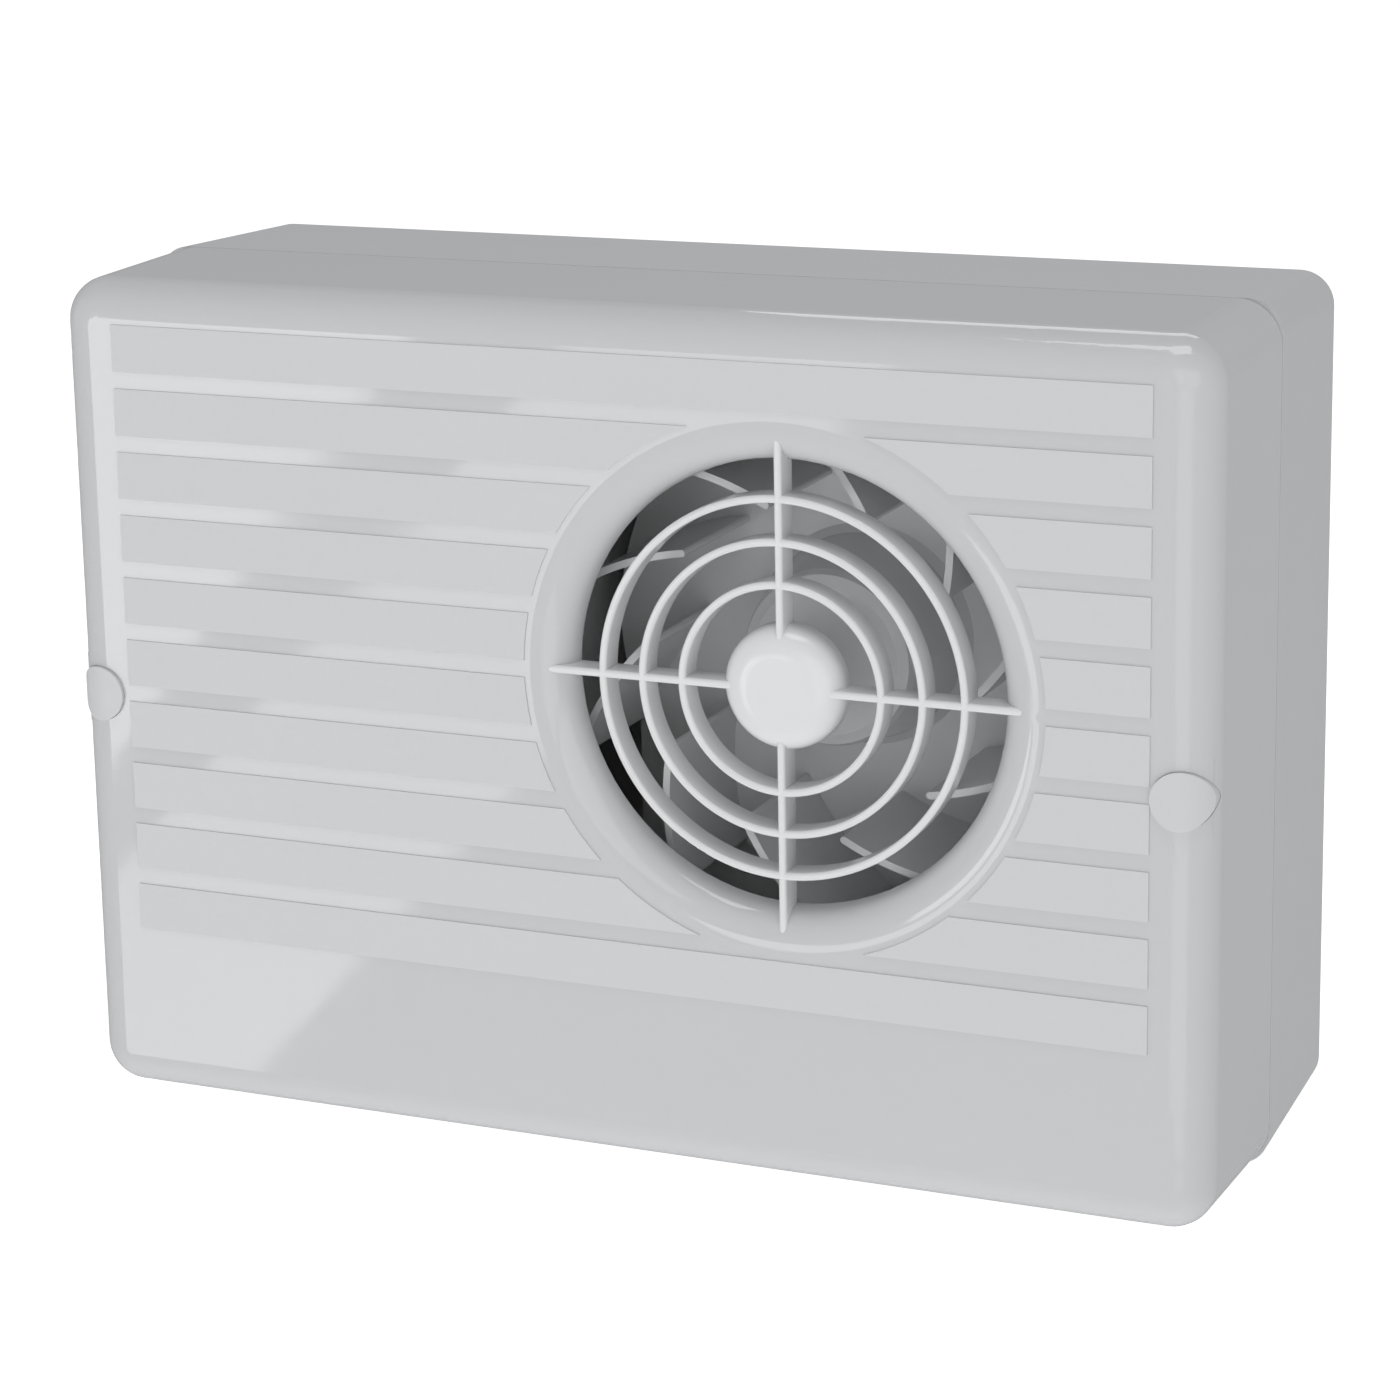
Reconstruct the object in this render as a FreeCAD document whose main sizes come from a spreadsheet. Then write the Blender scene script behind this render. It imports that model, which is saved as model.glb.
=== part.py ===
import FreeCAD, Part
import math
import os
import Sketcher
from FreeCAD import Placement, Rotation, Vector

# Wall-mounted centrifugal bathroom extractor fan.
# Frame: X to the right seen from the room, Y into the wall, Z up. The origin is on the axis
# of the outlet spigot, in the wall plane. Heights called "lift" are measured off the wall
# towards the room, so a point at lift 10 has y = -10.

os.makedirs("parts", exist_ok=True)
doc = FreeCAD.newDocument("extractor_fan")

SIZES = {
    # casing
    "fan_x": 128.0, "fan_z": 62.0, "case_x": 84.2, "case_z": 45.0, "case_depth": 106.0,
    "seam_lift": 53.4, "seam_gap": 0.3, "seam_width": 297.4, "seam_tall": 212.0,
    "front_draft": 0.8, "rear_draft": 1.6, "cover_corner": 10.8, "rear_corner": 8.4,
    "edge_round": 9.4, "wall": 2.5, "tongue_inset": 2.75, "tongue_thick": 1.5, "tongue_high": 3.6,
    # raised strips on the cover
    "strip_left": -132.2, "strip_right": 133.8, "strip_top": 94.7, "strip_tall": 11.8,
    "strip_pitch": 16.0, "strip_high": 0.3, "strip_margin": 65.5,
    # inlet bell-mouth and grille
    "throat_radius": 54.0, "mouth_radius": 64.0, "mouth_deep": 8.0, "mouth_skin": 2.2,
    "grille_back": 98.0, "grille_front": 105.1, "grille_web": 1.9,
    "ring_one": 25.0, "ring_two": 35.2, "ring_three": 45.5, "dome_radius": 15.2,
    "dome_flat": 8.0, "dome_high": 6.2, "dome_proud": 0.4,
    # screws through the cover
    "cap_inset": 7.8, "cap_radius": 6.95, "cap_clear": 0.1, "cap_proud": 1.0, "cap_deep": 8.3,
    "pillar_radius": 5.0, "screw_radius": 2.0, "screw_clear": 0.3, "pilot_radius": 1.6,
    # impeller and scroll
    "blade_front": 89.0, "disc_front": 48.0, "disc_thick": 2.0, "impeller_radius": 66.0,
    "blade_inner": 40.4, "blade_thick": 1.8, "cup_front": 76.0, "cup_radius": 22.0,
    "cup_foot": 26.0, "cup_wall": 2.0, "hub_boss": 6.0, "scroll_wall": 2.0,
    "scroll_one": 74.0, "scroll_two": 84.0, "scroll_front": 95.0, "scroll_back": 4.8,
    "chamber_radius": 53.0, "floor_lift": 42.0, "orifice_radius": 57.0, "plate_thick": 2.0,
    "column_radius": 4.5, "column_foot": 36.0,
    # motor
    "shaft_radius": 2.5, "rotor_radius": 14.6, "bore_radius": 15.0, "core_half": 31.0,
    "core_top": 58.0, "core_low": 27.0, "core_back": 13.0, "core_front": 33.0,
    "bearing_radius": 4.5, "strap_half": 9.0, "mount_reach": 40.0, "mount_lift": 15.0,
    # outlet and shutters
    "spigot_radius": 49.0, "spigot_wall": 2.0, "spigot_long": 45.0, "spigot_flange": 54.5,
    "pin_back": 8.0, "pin_radius": 1.0, "knuckle_radius": 2.2, "flap_radius": 46.2,
    "flap_thick": 1.2,
    # wall fixing and cable entry
    "fix_x": 128.0, "fix_z": 88.0, "fix_radius": 2.75, "cable_x": -36.0, "cable_z": 112.0,
    "cable_radius": 8.0,
}

STRIPS = 10
BLADES = 10
BLADE_PHASE = 102.0
BLADE_SWEEP = 47.0

sheet = doc.addObject("Spreadsheet::Sheet", "Sizes")
for row, (name, number) in enumerate(SIZES.items(), start=1):
    sheet.set(f"A{row}", name)
    sheet.set(f"B{row}", str(number))
    sheet.setAlias(f"B{row}", name)
doc.recompute()


class Size:
    """A number that keeps the sheet expression it was worked out with."""

    def __init__(self, text, number):
        self.text = text
        self.number = number

    def __add__(self, other):
        return Size(f"({self.text} + {text_of(other)})", self.number + float(other))

    def __sub__(self, other):
        return Size(f"({self.text} - {text_of(other)})", self.number - float(other))

    def __mul__(self, other):
        return Size(f"({self.text} * {text_of(other)})", self.number * float(other))

    def __truediv__(self, other):
        return Size(f"({self.text} / {text_of(other)})", self.number / float(other))

    def __neg__(self):
        return Size(f"(-1 * {self.text})", -self.number)

    def __float__(self):
        return float(self.number)


def text_of(value):
    return value.text if isinstance(value, Size) else f"{value:.6f}"


def size(name):
    return Size(f"Sizes.{name}", SIZES[name])


def bind(thing, prop, value):
    """Gives a property its value and, where it comes from the sheet, its expression."""
    if isinstance(value, Size):
        thing.setExpression(prop, value.text)


def place(thing, x=0.0, lift=0.0, z=0.0):
    """Puts an object at a point and binds each coordinate to the sheet."""
    thing.Placement = Placement(Vector(float(x), -float(lift), float(z)), thing.Placement.Rotation)
    bind(thing, "Placement.Base.x", x)
    bind(thing, "Placement.Base.y", -lift)
    bind(thing, "Placement.Base.z", z)


# ---------------------------------------------------------------- part primitives

TOWARDS_ROOM = Rotation(Vector(1, 0, 0), 90)


def cylinder(name, radius, back, front, x=0.0, z=0.0):
    """A cylinder along the wall's normal, from one lift to another."""
    item = doc.addObject("Part::Cylinder", name)
    item.Radius = float(radius)
    item.Height = float(front) - float(back)
    bind(item, "Radius", radius)
    if isinstance(front, Size):
        bind(item, "Height", front - back)
    item.Placement = Placement(Vector(0, 0, 0), TOWARDS_ROOM)
    place(item, x, back, z)
    return item


def box(name, left, right, back, front, low, high):
    """A box between two x, two lifts and two z."""
    item = doc.addObject("Part::Box", name)
    spans = (("Length", left, right), ("Width", back, front), ("Height", low, high))
    for prop, low_side, high_side in spans:
        setattr(item, prop, float(high_side) - float(low_side))
        if isinstance(high_side, Size):
            bind(item, prop, high_side - low_side)
    place(item, left, front, low)
    return item


def cut(name, base, tool):
    item = doc.addObject("Part::Cut", name)
    item.Base = base
    item.Tool = tool
    return item


def fuse(name, shapes):
    item = doc.addObject("Part::MultiFuse", name)
    item.Shapes = shapes
    item.Refine = True
    return item


def group(name, shapes):
    """Separate solids of identical pieces, kept as one compound."""
    item = doc.addObject("Part::Compound", name)
    item.Links = shapes
    return item


def tube(name, outer, inner, back, front, x=0.0, z=0.0):
    return cut(name, cylinder(name + "_outside", outer, back, front, x, z),
               cylinder(name + "_inside", inner, float(back) - 1, float(front) + 1, x, z))


def screw(name, x, z, seat, length, shank=2.0, head=3.9, head_high=2.6):
    """A pan-head screw: its seat is under the head, and its shank points at the wall."""
    top = cylinder(name + "_head", head, seat, seat + head_high, x, z)
    rod = cylinder(name + "_shank", shank, float(seat) - length, seat, x, z)
    slot = box(name + "_slot", float(x) - 0.5, float(x) + 0.5, float(seat) + head_high - 1.2,
               float(seat) + head_high + 1, float(z) - head - 1, float(z) + head + 1)
    return cut(name, fuse(name + "_blank", [top, rod]), slot)


# ---------------------------------------------------------------- part design bodies

class Maker:
    """One PartDesign body. Its sketches are parallel to the wall unless they are turned profiles."""

    def __init__(self, label, x=0.0, lift=0.0, z=0.0):
        self.body = doc.addObject("PartDesign::Body", label)
        self.body.Label = label
        self.label = label
        self.count = 0
        place(self.body, x, lift, z)

    def plane(self, role):
        return next(item for item in self.body.Origin.OriginFeatures if item.Role == role)

    def sketch(self, lift=0.0, role="XZ_Plane"):
        self.count += 1
        item = self.body.newObject("Sketcher::SketchObject", f"{self.label}_sketch_{self.count}")
        item.AttachmentSupport = (self.plane(role), [""])
        item.MapMode = "FlatFace"
        item.AttachmentOffset = Placement(Vector(0, 0, float(lift)), Rotation())
        bind(item, "AttachmentOffset.Base.z", lift)
        return item

    def feature(self, kind, profile, **settings):
        self.count += 1
        item = self.body.newObject(f"PartDesign::{kind}", f"{self.label}_{kind.lower()}_{self.count}")
        item.Profile = profile
        for prop, value in settings.items():
            if isinstance(value, Size):
                setattr(item, prop, float(value))
                bind(item, prop, value)
            else:
                setattr(item, prop, value)
        profile.Visibility = False
        return item

    def pad(self, profile, length):
        return self.feature("Pad", profile, Length=length)

    def pocket(self, profile, length, towards_wall=True):
        return self.feature("Pocket", profile, Length=length, Reversed=not towards_wall)

    def turned(self, kind, profile):
        return self.feature(kind, profile, ReferenceAxis=(profile, ["V_Axis"]), Angle=360.0)

    def loft(self, profile, section):
        return self.feature("AdditiveLoft", profile, Sections=[section], Ruled=True)

    def polar(self, features, count):
        self.count += 1
        item = self.body.newObject("PartDesign::PolarPattern", f"{self.label}_pattern_{self.count}")
        item.Originals = features
        item.Axis = (features[0].Profile[0], ["N_Axis"])
        item.Angle = 360.0
        item.Occurrences = count
        self.body.Tip = item
        return item

    def rounded(self, feature, radius, chosen):
        """Fillets the edges of a feature that the function picks."""
        doc.recompute()
        names = [f"Edge{number}" for number, edge in enumerate(feature.Shape.Edges, start=1) if chosen(edge)]
        self.count += 1
        item = self.body.newObject("PartDesign::Fillet", f"{self.label}_fillet_{self.count}")
        item.Base = (feature, names)
        item.Radius = float(radius)
        bind(item, "Radius", radius)
        return item


def pin_point(item, geometry, end, x, y):
    """Fixes one end of a sketch line at a point measured from the sketch's origin."""
    for kind, value in (("DistanceX", x), ("DistanceY", y)):
        if abs(float(value)) < 1e-9:
            axis = -2 if kind == "DistanceX" else -1
            item.addConstraint(Sketcher.Constraint("PointOnObject", geometry, end, axis))
            continue
        index = item.addConstraint(Sketcher.Constraint(kind, -1, 1, geometry, end, float(value)))
        bind(item, f"Constraints[{index}]", value)


def circle(item, radius, x=0.0, y=0.0):
    index = item.addGeometry(Part.Circle(Vector(float(x), float(y), 0), Vector(0, 0, 1), float(radius)))
    pin_point(item, index, 3, x, y)
    bound = item.addConstraint(Sketcher.Constraint("Radius", index, float(radius)))
    bind(item, f"Constraints[{bound}]", radius)


def polygon(item, points):
    """A closed outline of straight lines, each corner pinned to its coordinates."""
    spots = [Vector(float(x), float(y), 0) for x, y in points]
    first = item.GeometryCount
    total = len(spots)
    for number in range(total):
        item.addGeometry(Part.LineSegment(spots[number], spots[(number + 1) % total]))
    for number in range(total):
        following = first + (number + 1) % total
        item.addConstraint(Sketcher.Constraint("Coincident", first + number, 2, following, 1))
        pin_point(item, first + number, 1, *points[number])


def rectangle(item, left, right, low, high):
    polygon(item, [(left, low), (right, low), (right, high), (left, high)])


def rounded_rectangle(item, half_width, half_tall, radius):
    """A rectangle about the origin with quarter-circle corners."""
    wide, tall, bend = float(half_width), float(half_tall), float(radius)
    corners = [(wide - bend, tall - bend, 0), (bend - wide, tall - bend, 90),
               (bend - wide, bend - tall, 180), (wide - bend, bend - tall, 270)]
    for x, y, start in corners:
        ring = Part.Circle(Vector(x, y, 0), Vector(0, 0, 1), bend)
        item.addGeometry(Part.ArcOfCircle(ring, math.radians(start), math.radians(start + 90)))
    ends = [(wide - bend, tall), (-wide, tall - bend), (bend - wide, -tall), (wide, bend - tall)]
    starts = [(bend - wide, tall), (-wide, bend - tall), (wide - bend, -tall), (wide, tall - bend)]
    for number in range(4):
        item.addGeometry(Part.LineSegment(Vector(*ends[number], 0), Vector(*starts[number], 0)))
    for number in range(4):
        item.addConstraint(Sketcher.Constraint("Tangent", number, 2, 4 + number, 1))
        item.addConstraint(Sketcher.Constraint("Tangent", 4 + number, 2, (number + 1) % 4, 1))
    for number in (1, 2, 3):
        item.addConstraint(Sketcher.Constraint("Equal", 0, number))
    bound = item.addConstraint(Sketcher.Constraint("Radius", 0, bend))
    bind(item, f"Constraints[{bound}]", radius)
    item.addConstraint(Sketcher.Constraint("Horizontal", 4))
    item.addConstraint(Sketcher.Constraint("Vertical", 5))
    for kind, geometry, end, value in (("DistanceY", 4, 1, half_tall), ("DistanceX", 5, 1, -half_width),
                                       ("DistanceY", 6, 1, -half_tall), ("DistanceX", 7, 1, half_width)):
        index = item.addConstraint(Sketcher.Constraint(kind, -1, 1, geometry, end, float(value)))
        bind(item, f"Constraints[{index}]", value)


def quarter_ellipse(centre_r, centre_lift, half_r, half_lift, start, stop):
    """An arc of an ellipse in a turned profile, whose plane holds radius and minus lift."""
    centre = Vector(centre_r, -centre_lift, 0)
    if half_r >= half_lift:
        major = Vector(centre_r + half_r, -centre_lift, 0)
        minor = Vector(centre_r, -centre_lift + half_lift, 0)
        turn = 0.0
    else:
        major = Vector(centre_r, -centre_lift + half_lift, 0)
        minor = Vector(centre_r - half_r, -centre_lift, 0)
        turn = 90.0
    ellipse = Part.Ellipse(major, minor, centre)
    return Part.ArcOfEllipse(ellipse, math.radians(start - turn), math.radians(stop - turn))


def profile_line(item, *points):
    """Joined straight lines through (radius, lift) points of a turned profile."""
    for (r_one, lift_one), (r_two, lift_two) in zip(points, points[1:]):
        item.addGeometry(Part.LineSegment(Vector(r_one, -lift_one, 0), Vector(r_two, -lift_two, 0)))


def turned_solid(maker, kind, points):
    """A turned feature from straight-sided (radius, lift) corners."""
    item = maker.sketch(role="XY_Plane")
    polygon(item, [(radius, -lift) for radius, lift in points])
    return maker.turned(kind, item)


def at_lift(lift):
    return lambda edge: all(abs(vertex.Point.y + float(lift)) < 0.01 for vertex in edge.Vertexes)


# ---------------------------------------------------------------- front cover

seam_half_width = size("seam_width") / 2
seam_half_tall = size("seam_tall") / 2
front_half_width = seam_half_width - size("front_draft")
front_half_tall = seam_half_tall - size("front_draft")
screw_x = seam_half_width - size("cap_inset")
pocket_floor = size("case_depth") - size("cap_deep")
SIDES = (("left", -1), ("right", 1))


def rounded_block(label, inset, x, z):
    """The cover's outer block, or the same block brought in by the wall: drafted, with a rounded front."""
    block = Maker(label, x, 0.0, z)
    corner = size("cover_corner") - inset
    rim = block.sketch(size("seam_lift") + size("seam_gap"))
    rounded_rectangle(rim, seam_half_width - inset, seam_half_tall - inset, corner)
    face = block.sketch(size("case_depth") - inset)
    rounded_rectangle(face, front_half_width - inset, front_half_tall - inset, corner)
    drafted = block.loft(rim, face)
    block.rounded(drafted, size("edge_round") - inset, at_lift(size("case_depth") - inset))
    return block


def make_front_cover():
    cover = rounded_block("front_cover", 0.0, size("case_x"), size("case_z"))
    cavity = rounded_block("cover_cavity", size("wall"), 0.0, 0.0)
    hollow = cover.body.newObject("PartDesign::Boolean", "front_cover_hollow")
    hollow.Type = "Cut"
    hollow.setObjects([cavity.body])

    # the front wall is opened and the bell-mouth skin turned into the opening
    fan_dx = size("fan_x") - size("case_x")
    fan_dz = size("fan_z") - size("case_z")
    opening = cover.sketch(size("case_depth") + 1)
    circle(opening, size("mouth_radius") + 1, fan_dx, fan_dz)
    cover.pocket(opening, size("wall") + 2)
    skin = cover.sketch(role="XY_Plane")
    skin.AttachmentOffset = Placement(Vector(float(fan_dx), 0, float(fan_dz)), Rotation())
    bind(skin, "AttachmentOffset.Base.x", fan_dx)
    bind(skin, "AttachmentOffset.Base.z", fan_dz)
    throat, mouth = SIZES["throat_radius"], SIZES["mouth_radius"]
    deep, thick, front = SIZES["mouth_deep"], SIZES["mouth_skin"], SIZES["case_depth"]
    lip, under, edge = front - deep, front - SIZES["wall"], mouth + 1.6
    skin.addGeometry(quarter_ellipse(mouth, lip, mouth - throat, deep, 180, 270))
    profile_line(skin, (mouth, front), (edge, front), (edge, under), (mouth, under))
    skin.addGeometry(quarter_ellipse(mouth, lip, mouth - throat - thick, deep - SIZES["wall"], 180, 270))
    profile_line(skin, (throat + thick, lip), (throat, lip))
    cover.turned("Revolution", skin)

    # raised strips, cleared round the inlet
    strip = cover.sketch(size("case_depth"))
    rectangle(strip, size("strip_left"), size("strip_right"),
              size("strip_top") - size("strip_tall"), size("strip_top"))
    first = cover.pad(strip, size("strip_high"))
    row = cover.body.newObject("PartDesign::LinearPattern", "front_cover_strips")
    row.Originals = [first]
    row.Direction = (strip, ["V_Axis"])
    row.Reversed = True
    row.Length = SIZES["strip_pitch"] * (STRIPS - 1)
    bind(row, "Length", size("strip_pitch") * (STRIPS - 1))
    row.Occurrences = STRIPS
    cover.body.Tip = row
    clearing = cover.sketch(size("case_depth") + size("strip_high"))
    circle(clearing, size("strip_margin"), fan_dx, fan_dz)
    cover.pocket(clearing, size("strip_high"))

    # screw bosses: a low one behind the rounded edge, a block beside it, and a long pillar
    for sign in (-1, 1):
        for inset, back_deep, front_deep in ((1.5, 11.0, 5.0), (6.0, 6.0, 1.0)):
            boss = cover.sketch(size("case_depth") - back_deep)
            outer = (seam_half_width - inset) * sign
            inner = (seam_half_width - 17.0) * sign
            low, high = (outer, inner) if sign < 0 else (inner, outer)
            rectangle(boss, low, high, -9.0, 9.0)
            cover.pad(boss, back_deep - front_deep)
        pillar = cover.sketch(size("seam_lift") + 4.1)
        circle(pillar, size("pillar_radius"), screw_x * sign, 0.0)
        cover.pad(pillar, pocket_floor - size("seam_lift") - 5.0)
    pockets = cover.sketch(size("case_depth") + 1)
    bores = cover.sketch(size("case_depth"))
    for sign in (-1, 1):
        circle(pockets, size("cap_radius") + size("cap_clear"), screw_x * sign, 0.0)
        circle(bores, size("screw_radius") + size("screw_clear"), screw_x * sign, 0.0)
    cover.pocket(pockets, size("cap_deep") + 1)
    cover.pocket(bores, size("case_depth") - size("seam_lift"))
    return cover.body


# ---------------------------------------------------------------- inlet grille

def web_section(item, middle, half, back, front):
    """A web's section across a sketch in the XY plane: straight sides and a rounded front edge."""
    nose = half * 0.9
    shoulder = front - nose
    left, right = middle - half, middle + half
    for x, start in ((left + nose, 180.0), (right - nose, 270.0)):
        bend = Part.Circle(Vector(x, -shoulder, 0), Vector(0, 0, 1), nose)
        item.addGeometry(Part.ArcOfCircle(bend, math.radians(start), math.radians(start + 90.0)))
    profile_line(item, (right, shoulder), (right, back), (left, back), (left, shoulder))
    profile_line(item, (left + nose, front), (right - nose, front))


def make_inlet_grille():
    grille = Maker("inlet_grille", size("fan_x"), 0.0, size("fan_z"))
    back, front, half = SIZES["grille_back"], SIZES["grille_front"], SIZES["grille_web"] / 2
    for name in ("ring_one", "ring_two", "ring_three"):
        ring = grille.sketch(role="XY_Plane")
        web_section(ring, SIZES[name], half, back, front)
        grille.turned("Revolution", ring)
    dome = grille.sketch(role="XY_Plane")
    radius, flat, high = SIZES["dome_radius"], SIZES["dome_flat"], SIZES["dome_high"]
    crown = SIZES["case_depth"] + SIZES["dome_proud"]
    dome.addGeometry(quarter_ellipse(flat, crown - high, radius - flat, high, 270, 360))
    profile_line(dome, (radius, crown - high), (radius, back), (0.0, back), (0.0, crown), (flat, crown))
    grille.turned("Revolution", dome)
    upright = grille.sketch(role="XY_Plane")
    web_section(upright, 0.0, half, back, front)
    grille.feature("Pad", upright, Length=size("mouth_radius") * 2 - 4, SideType="Symmetric")
    level = grille.sketch(role="YZ_Plane")
    web_section(level, 0.0, half, back, front)
    level.AttachmentOffset = Placement(Vector(0, 0, 0), Rotation(Vector(0, 0, 1), -90))
    grille.feature("Pad", level, Length=size("mouth_radius") * 2 - 4, SideType="Symmetric")
    # the vanes end on the bell-mouth, so its shape is turned away from them
    trim = grille.sketch(role="XY_Plane")
    throat, mouth, deep = SIZES["throat_radius"], SIZES["mouth_radius"], SIZES["mouth_deep"]
    depth = SIZES["case_depth"]
    trim.addGeometry(quarter_ellipse(mouth, depth - deep, mouth - throat, deep, 180, 270))
    profile_line(trim, (mouth, depth), (mouth, depth + 2), (mouth + 6, depth + 2),
                 (mouth + 6, depth - deep - 4), (throat, depth - deep - 4), (throat, depth - deep))
    grille.turned("Groove", trim)
    return grille.body


# ---------------------------------------------------------------- screws and caps of the cover

def make_cover_screws():
    screws = []
    for side, sign in SIDES:
        screws.append(screw(f"cover_screw_{side}", size("case_x") + screw_x * sign, size("case_z"),
                            pocket_floor, 56.0, head=4.1, head_high=2.8))
    return group("cover_screws", screws)


def make_screw_cap(side, sign):
    """A hollow cap whose outer face follows the cover's rounded edge, a little proud of it."""
    name = f"screw_cap_{side}"
    x, z = size("case_x") + screw_x * sign, size("case_z")
    top = size("case_depth") + size("cap_proud")
    edge = size("case_x") + (front_half_width + size("cap_proud")) * sign
    far = size("case_x") + (front_half_width - 30) * sign
    low, high = (edge, far) if sign < 0 else (far, edge)
    slab = box(name + "_slab", low, high, pocket_floor - 8, top, z - 10, z + 10)
    doc.recompute()
    corner = [number for number, line in enumerate(slab.Shape.Edges, start=1)
              if all(abs(spot.Point.x - float(edge)) < 0.01 and abs(spot.Point.y + float(top)) < 0.01
                     for spot in line.Vertexes)]
    bent = doc.addObject("Part::Fillet", name + "_bent")
    bent.Base = slab
    bend = SIZES["edge_round"] + SIZES["cap_proud"]
    bent.Edges = [(corner[0], bend, bend)]
    plug = cylinder(name + "_plug", size("cap_radius"), pocket_floor + 0.1, top, x, z)
    blank = doc.addObject("Part::Common", name + "_blank")
    blank.Base = bent
    blank.Tool = plug
    hollow = cylinder(name + "_hollow", size("cap_radius") - 1.6, pocket_floor - 1, pocket_floor + 3.6, x, z)
    return cut(name, blank, hollow)


# ---------------------------------------------------------------- rear housing

def scroll_centres():
    """Centres and radii of the arcs of the scroll's inner face: three of the volute, then the spigot's."""
    one, two = SIZES["scroll_one"], SIZES["scroll_two"]
    x, z = SIZES["fan_x"], SIZES["fan_z"]
    z_two = z - (two - one)
    three = z_two + SIZES["chamber_radius"]
    spigot = (0.0, 0.0, SIZES["chamber_radius"])
    return [(x, z, one), (x, z_two, two), (x - (three - two), z_two, three), spigot]


def column_spots():
    """Where the four long screws hold the scroll, just outside its wall: x, z and angle round the arc."""
    reach = SIZES["scroll_wall"] + SIZES["column_radius"] + 0.5
    spots = []
    for number, angle in ((3, 125.0), (1, 45.0), (2, -45.0), (0, 150.0)):
        x, z, radius = scroll_centres()[number]
        turn = math.radians(angle)
        spots.append((x + (radius + reach) * math.cos(turn), z + (radius + reach) * math.sin(turn), angle))
    return spots


COLUMNS = column_spots()
BLOCK_SPOT = (17.0, 104.0)
CLAMP_SPOTS = [(-18.0, 100.0), (-18.0, 124.0)]


def make_rear_housing():
    housing = Maker("rear_housing", size("case_x"), 0.0, size("case_z"))
    back = housing.sketch(0.0)
    rounded_rectangle(back, seam_half_width - size("rear_draft"), seam_half_tall - size("rear_draft"),
                      size("rear_corner"))
    rim = housing.sketch(size("seam_lift"))
    rounded_rectangle(rim, seam_half_width, seam_half_tall, size("rear_corner"))
    block = housing.loft(back, rim)
    doc.recompute()
    open_side = next(f"Face{number}" for number, side in enumerate(block.Shape.Faces, start=1)
                     if abs(side.CenterOfMass.y + SIZES["seam_lift"]) < 0.01)
    shell = housing.body.newObject("PartDesign::Thickness", "rear_housing_shell")
    shell.Base = (block, [open_side])
    shell.Value = SIZES["wall"]
    bind(shell, "Value", size("wall"))
    shell.Reversed = True
    shell.Join = 0

    # tongue round the rim that the cover slips over
    seam, inner_side = size("seam_lift"), size("tongue_inset") + size("tongue_thick")
    rings = ((seam - 4, seam, size("wall") - 0.3, size("rear_corner")),
             (seam, seam + size("tongue_high"), size("tongue_inset"), size("cover_corner")))
    for low, high, outer, corner in rings:
        ring = housing.sketch(low)
        rounded_rectangle(ring, seam_half_width - outer, seam_half_tall - outer, corner - outer)
        housing.pad(ring, high - low)
        hole = housing.sketch(high)
        rounded_rectangle(hole, seam_half_width - inner_side, seam_half_tall - inner_side,
                          size("cover_corner") - inner_side)
        housing.pocket(hole, high - low)
    add_posts(housing)
    return housing.body


def add_posts(housing):
    """Adds pillars and posts inside the tray, then opens its holes."""
    case_x, case_z = size("case_x"), size("case_z")
    fan_dx, fan_dz = size("fan_x") - case_x, size("fan_z") - case_z
    wall, start = size("wall"), size("wall") - 1

    def post(radius, top, *spots):
        item = housing.sketch(start)
        for x, z in spots:
            circle(item, radius, x, z)
        housing.pad(item, -(start - top))

    def hole(radius, top, deep, *spots):
        item = housing.sketch(top)
        for x, z in spots:
            circle(item, radius, x, z)
        housing.pocket(item, deep)

    cover_posts = [(screw_x * sign, 0.0) for sign in (-1, 1)]
    motor_posts = [(fan_dx + size("mount_reach") * sign, fan_dz) for sign in (-1, 1)]
    scroll_posts = [(x - float(case_x), z - float(case_z)) for x, z, angle in COLUMNS]
    block_post = (BLOCK_SPOT[0] - float(case_x), BLOCK_SPOT[1] - float(case_z))
    clamp_posts = [(x - float(case_x), z - float(case_z)) for x, z in CLAMP_SPOTS]
    fixing = [(size("fix_x") * sx, size("fix_z") * sz) for sx in (-1, 1) for sz in (-1, 1)]
    post(size("pillar_radius"), size("seam_lift") + size("tongue_high"), *cover_posts)
    post(4.5, size("mount_lift"), *motor_posts)
    post(4.5, size("column_foot") - 0.3, *scroll_posts)
    post(3.5, 8.0, block_post)
    post(3.2, 7.0, *clamp_posts)
    post(6.0, wall + 1.5, *fixing)
    hole(size("pilot_radius"), size("seam_lift") + size("tongue_high"), 24.0, *cover_posts)
    hole(size("pilot_radius"), size("mount_lift"), 12.0, *motor_posts)
    hole(size("pilot_radius"), size("column_foot") - 0.3, 16.0, *scroll_posts)
    hole(1.2, 8.0, 6.0, block_post)
    hole(1.2, 7.0, 5.0, *clamp_posts)
    hole(size("fix_radius"), wall + 2, wall + 3, *fixing)
    hole(size("spigot_radius") + 0.3, wall + 1, wall + 2, (-case_x, -case_z))
    entry = (size("cable_x") - case_x, size("cable_z") - case_z)
    hole(size("cable_radius") + 1.0, wall + 1, wall + 2, entry)


# ---------------------------------------------------------------- scroll

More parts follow.
